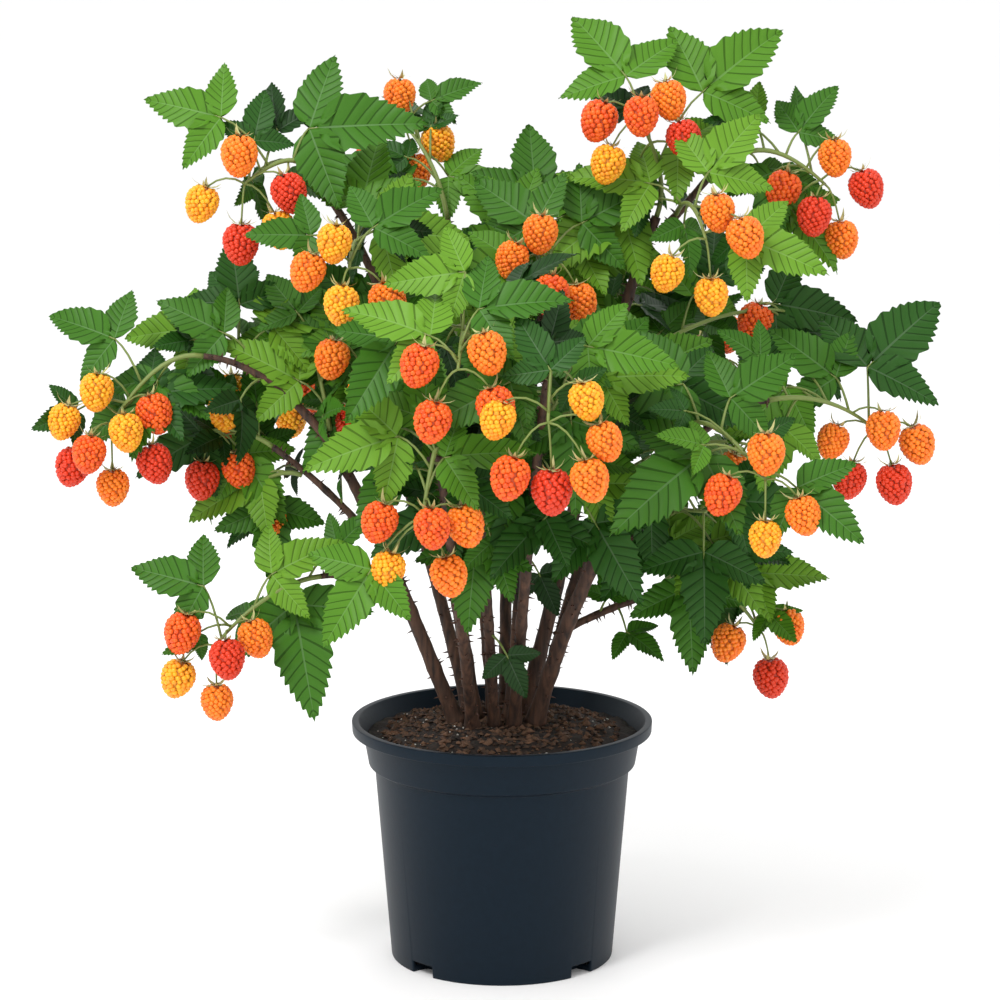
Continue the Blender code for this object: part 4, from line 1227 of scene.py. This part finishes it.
class PLANT_OT_berries(bpy.types.Operator):
    """Hangs the berries, bead by bead, with their sepals and dried stamens"""

    bl_idname = "plant.berries"
    bl_label = "Berries"

    def execute(self, context):
        ripening = {"y": "yellow", "o": "orange", "c": "coral", "r": "red"}
        soups = {letter: Soup() for letter in ripening}
        calyx = Soup()
        for number, berry in enumerate(grown_berries()):
            add_berry(soups[berry.ripeness], berry, f"berry {number}")
            add_calyx(calyx, berry, f"calyx {number}")
        letters = list(ripening)
        for letter, soup in soups.items():
            name = ripening[letter]
            riper = letters[min(letters.index(letter) + 1, len(letters) - 1)]
            own = getattr(settings(), name)
            half_way = [(a + b) / 2 for a, b in zip(own, getattr(settings(), ripening[riper]))]
            beads = plain("berry_" + name, own, *BEAD_FINISH)
            riper_beads = plain("berry_riper_" + name, half_way, *BEAD_FINISH)
            # The core is darkened as painted shade in the gaps between the beads
            core = plain("berry_core_" + name, [c * CORE_PAINTED_SHADE for c in half_way], CORE_ROUGHNESS)
            piece = soup.made("berries_" + name, [beads, riper_beads, core])
            finish_piece(piece, [])
        sepal = plain("sepal_green", settings().sepal, SEPAL_ROUGHNESS)
        stamen = plain("stamen_dry", settings().stamen, STAMEN_ROUGHNESS)
        finish_piece(calyx.made("sepals_and_stamens", [sepal, stamen]), [])
        return {"FINISHED"}


def egg_radius(forward):
    """Half-width of a berry at a place along its axis, -1 at its top and 1 at its tip."""
    round_part = math.sqrt(max(0, 1 - forward * forward))
    return round_part * (1 + EGG_SWELLING - EGG_TAPER * (forward + 1))


def egg_place(berry, forward, angle, across, beside):
    """A point on a berry's surface and its outward normal."""
    spoke = across * math.cos(angle) + beside * math.sin(angle)
    half_width = BERRY_WIDTH / 2 * berry.size
    half_height = BERRY_HEIGHT / 2 * berry.size
    radius = egg_radius(forward)
    point = berry.centre + spoke * half_width * radius + berry.axis * half_height * forward
    wider = egg_radius(min(1, forward + EGG_STEP)) - egg_radius(max(-1, forward - EGG_STEP))
    slope = wider / (2 * EGG_STEP)
    normal = (spoke * half_height - berry.axis * half_width * slope).normalized()
    return point, normal


def add_berry(soup, berry, seed):
    """A berry's core, darkened as painted shade between the beads, and its glossy beads, set out along a
    spiral.
    """
    draw = random.Random(seed)
    across = berry.axis.orthogonal().normalized()
    beside = berry.axis.cross(across)
    count = settings().drupelets
    add_core(soup, berry, across, beside)
    bead_radius = DRUPELET_RADIUS * berry.size * math.sqrt(DRUPELETS / count)
    for number in range(count):
        forward = DRUPELETS_FROM + DRUPELETS_REACH * (number + 0.5) / count
        angle = number * GOLDEN_ANGLE + draw.uniform(-1, 1) * DRUPELET_TURN
        point, normal = egg_place(berry, forward, angle, across, beside)
        riper = draw.random() < RIPER_AT_TOP + RIPER_RISE * (forward + 1)
        add_bead(soup, point, normal, bead_radius * draw.uniform(*DRUPELET_SIZES), 1 if riper else 0)


def add_core(soup, berry, across, beside):
    """The smooth body of a berry under its beads, its colour darkened as painted shade where it shows
    between them.
    """
    verts = []
    for ring in range(CORE_RINGS):
        forward = CORE_END * (2 * ring / (CORE_RINGS - 1) - 1)
        for side in range(CORE_SIDES):
            point, _ = egg_place(berry, forward, 2 * math.pi * side / CORE_SIDES, across, beside)
            verts.append(berry.centre + (point - berry.centre) * CORE_SHARE)
    soup.add(verts, band_faces(CORE_RINGS, CORE_SIDES) + end_faces(CORE_RINGS, CORE_SIDES), 2)


def add_bead(soup, point, normal, radius, finish):
    """One round bead, half sunk in the berry."""
    across = normal.orthogonal().normalized()
    beside = normal.cross(across)
    verts = []
    for share, rise in DRUPELET_RINGS:
        verts += ring_points(point + normal * rise, across, beside, radius * share, DRUPELET_SIDES)
    verts.append(point + normal * DRUPELET_TOP)
    faces = band_faces(len(DRUPELET_RINGS), DRUPELET_SIDES)
    top = len(DRUPELET_RINGS) * DRUPELET_SIDES
    last = top - DRUPELET_SIDES
    for side in range(DRUPELET_SIDES):
        faces.append((last + side, last + (side + 1) % DRUPELET_SIDES, top))
    soup.add(verts, faces, finish)


def add_calyx(soup, berry, seed):
    """Five narrow sepals bent back from the top of a berry, and a few dry stamens."""
    draw = random.Random(seed)
    top = berry.centre - berry.axis * BERRY_HEIGHT * (BERRY_TOP + CALYX_RISE) * berry.size
    turned = draw.uniform(0, 360)
    for number in range(SEPAL_COUNT):
        out = Matrix.Rotation(math.radians(turned + number * 360 / SEPAL_COUNT), 3, berry.axis)
        out = out @ berry.axis.orthogonal().normalized()
        beside = berry.axis.cross(out)
        length = SEPAL_LENGTH * draw.uniform(*SEPAL_LENGTHS)
        lift = draw.uniform(*SEPAL_LIFTS)
        verts = []
        for share, width in SEPAL_OUTLINE:
            bend = -berry.axis * length * (lift * share * share - SEPAL_SAG * math.sin(math.pi * share))
            spot = top + out * length * share * (1 - SEPAL_CURL * lift * share) + bend
            verts += [spot + beside * SEPAL_WIDTH * width / 2, spot - beside * SEPAL_WIDTH * width / 2]
        soup.add(verts, SEPAL_FACES, 0)
    for _ in range(STAMEN_COUNT):
        out = Matrix.Rotation(draw.uniform(0, 2 * math.pi), 3, berry.axis)
        out = out @ berry.axis.orthogonal().normalized()
        heading = (out - berry.axis * draw.uniform(*STAMEN_RISES)).normalized()
        tip = top + heading * STAMEN_LENGTH * draw.uniform(*STAMEN_LENGTHS)
        soup.add(*spike(top + out * STAMEN_RING, tip, STAMEN_RADIUS), 1)


class PLANT_OT_stage(bpy.types.Operator):
    """Lays the white floor and sets the soft light and the camera"""

    bl_idname = "plant.stage"
    bl_label = "Stage"

    def execute(self, context):
        make_floor()
        make_lights()
        make_camera()
        return {"FINISHED"}


def make_floor():
    soup = Soup()
    corners = [(x * FLOOR_HALF, y * FLOOR_HALF, 0) for x, y in ((-1, -1), (1, -1), (1, 1), (-1, 1))]
    soup.add(corners, [(0, 1, 2, 3)])
    floor = soup.made("floor", [plain("floor_white", FLOOR_WHITE, FLOOR_ROUGHNESS)], smooth=False)


def make_lights():
    world = bpy.data.worlds.new("studio")
    world.use_nodes = True
    sky = world.node_tree.nodes["Background"].inputs
    sky["Color"].default_value = (1, 1, 1, 1)
    sky["Strength"].default_value = SKY_STRENGTH
    bpy.context.scene.world = world
    for name, position, target, power, size in LIGHTS:
        lamp = bpy.data.lights.new(name, "AREA")
        lamp.energy = power
        lamp.size = size
        light = linked(name, lamp)
        light.location = position
        light.rotation_euler = (Vector(target) - Vector(position)).to_track_quat("-Z", "Y").to_euler()


def make_camera():
    data = bpy.data.cameras.new("camera")
    data.lens = CAMERA_LENS
    data.sensor_width = CAMERA_SENSOR
    data.shift_x = CAMERA_SHIFT
    camera = linked("camera", data)
    camera.location = (0, -CAMERA_DISTANCE, CAMERA_HEIGHT)
    camera.rotation_euler = (math.radians(90 - CAMERA_PITCH), 0, 0)
    bpy.context.scene.camera = camera
    bpy.context.scene.view_settings.view_transform = "Standard"


class PLANT_PT_panel(bpy.types.Panel):
    """Lists the plant's settings and the steps that build it"""

    bl_idname = "PLANT_PT_panel"
    bl_label = "Potted salmonberry"
    bl_space_type = "VIEW_3D"
    bl_region_type = "UI"
    bl_category = "Plant"

    def draw(self, context):
        for name in PlantSettings.__annotations__:
            self.layout.prop(context.scene.plant_settings, name)
        for step in OPERATORS:
            self.layout.operator(step.bl_idname)


OPERATORS = (PLANT_OT_pot, PLANT_OT_mix, PLANT_OT_canes, PLANT_OT_stems, PLANT_OT_leaves, PLANT_OT_berries,
             PLANT_OT_stage)


def register():
    bpy.utils.register_class(PlantSettings)
    for step in OPERATORS:
        bpy.utils.register_class(step)
    bpy.utils.register_class(PLANT_PT_panel)
    bpy.types.Scene.plant_settings = PointerProperty(type=PlantSettings)


def unregister():
    del bpy.types.Scene.plant_settings
    bpy.utils.unregister_class(PLANT_PT_panel)
    for step in reversed(OPERATORS):
        bpy.utils.unregister_class(step)
    bpy.utils.unregister_class(PlantSettings)


def main():
    register()
    bpy.ops.plant.pot()
    bpy.ops.plant.mix()
    bpy.ops.plant.canes()
    bpy.ops.plant.stems()
    bpy.ops.plant.leaves()
    bpy.ops.plant.berries()
    bpy.ops.plant.stage()


if __name__ == "__main__":
    main()
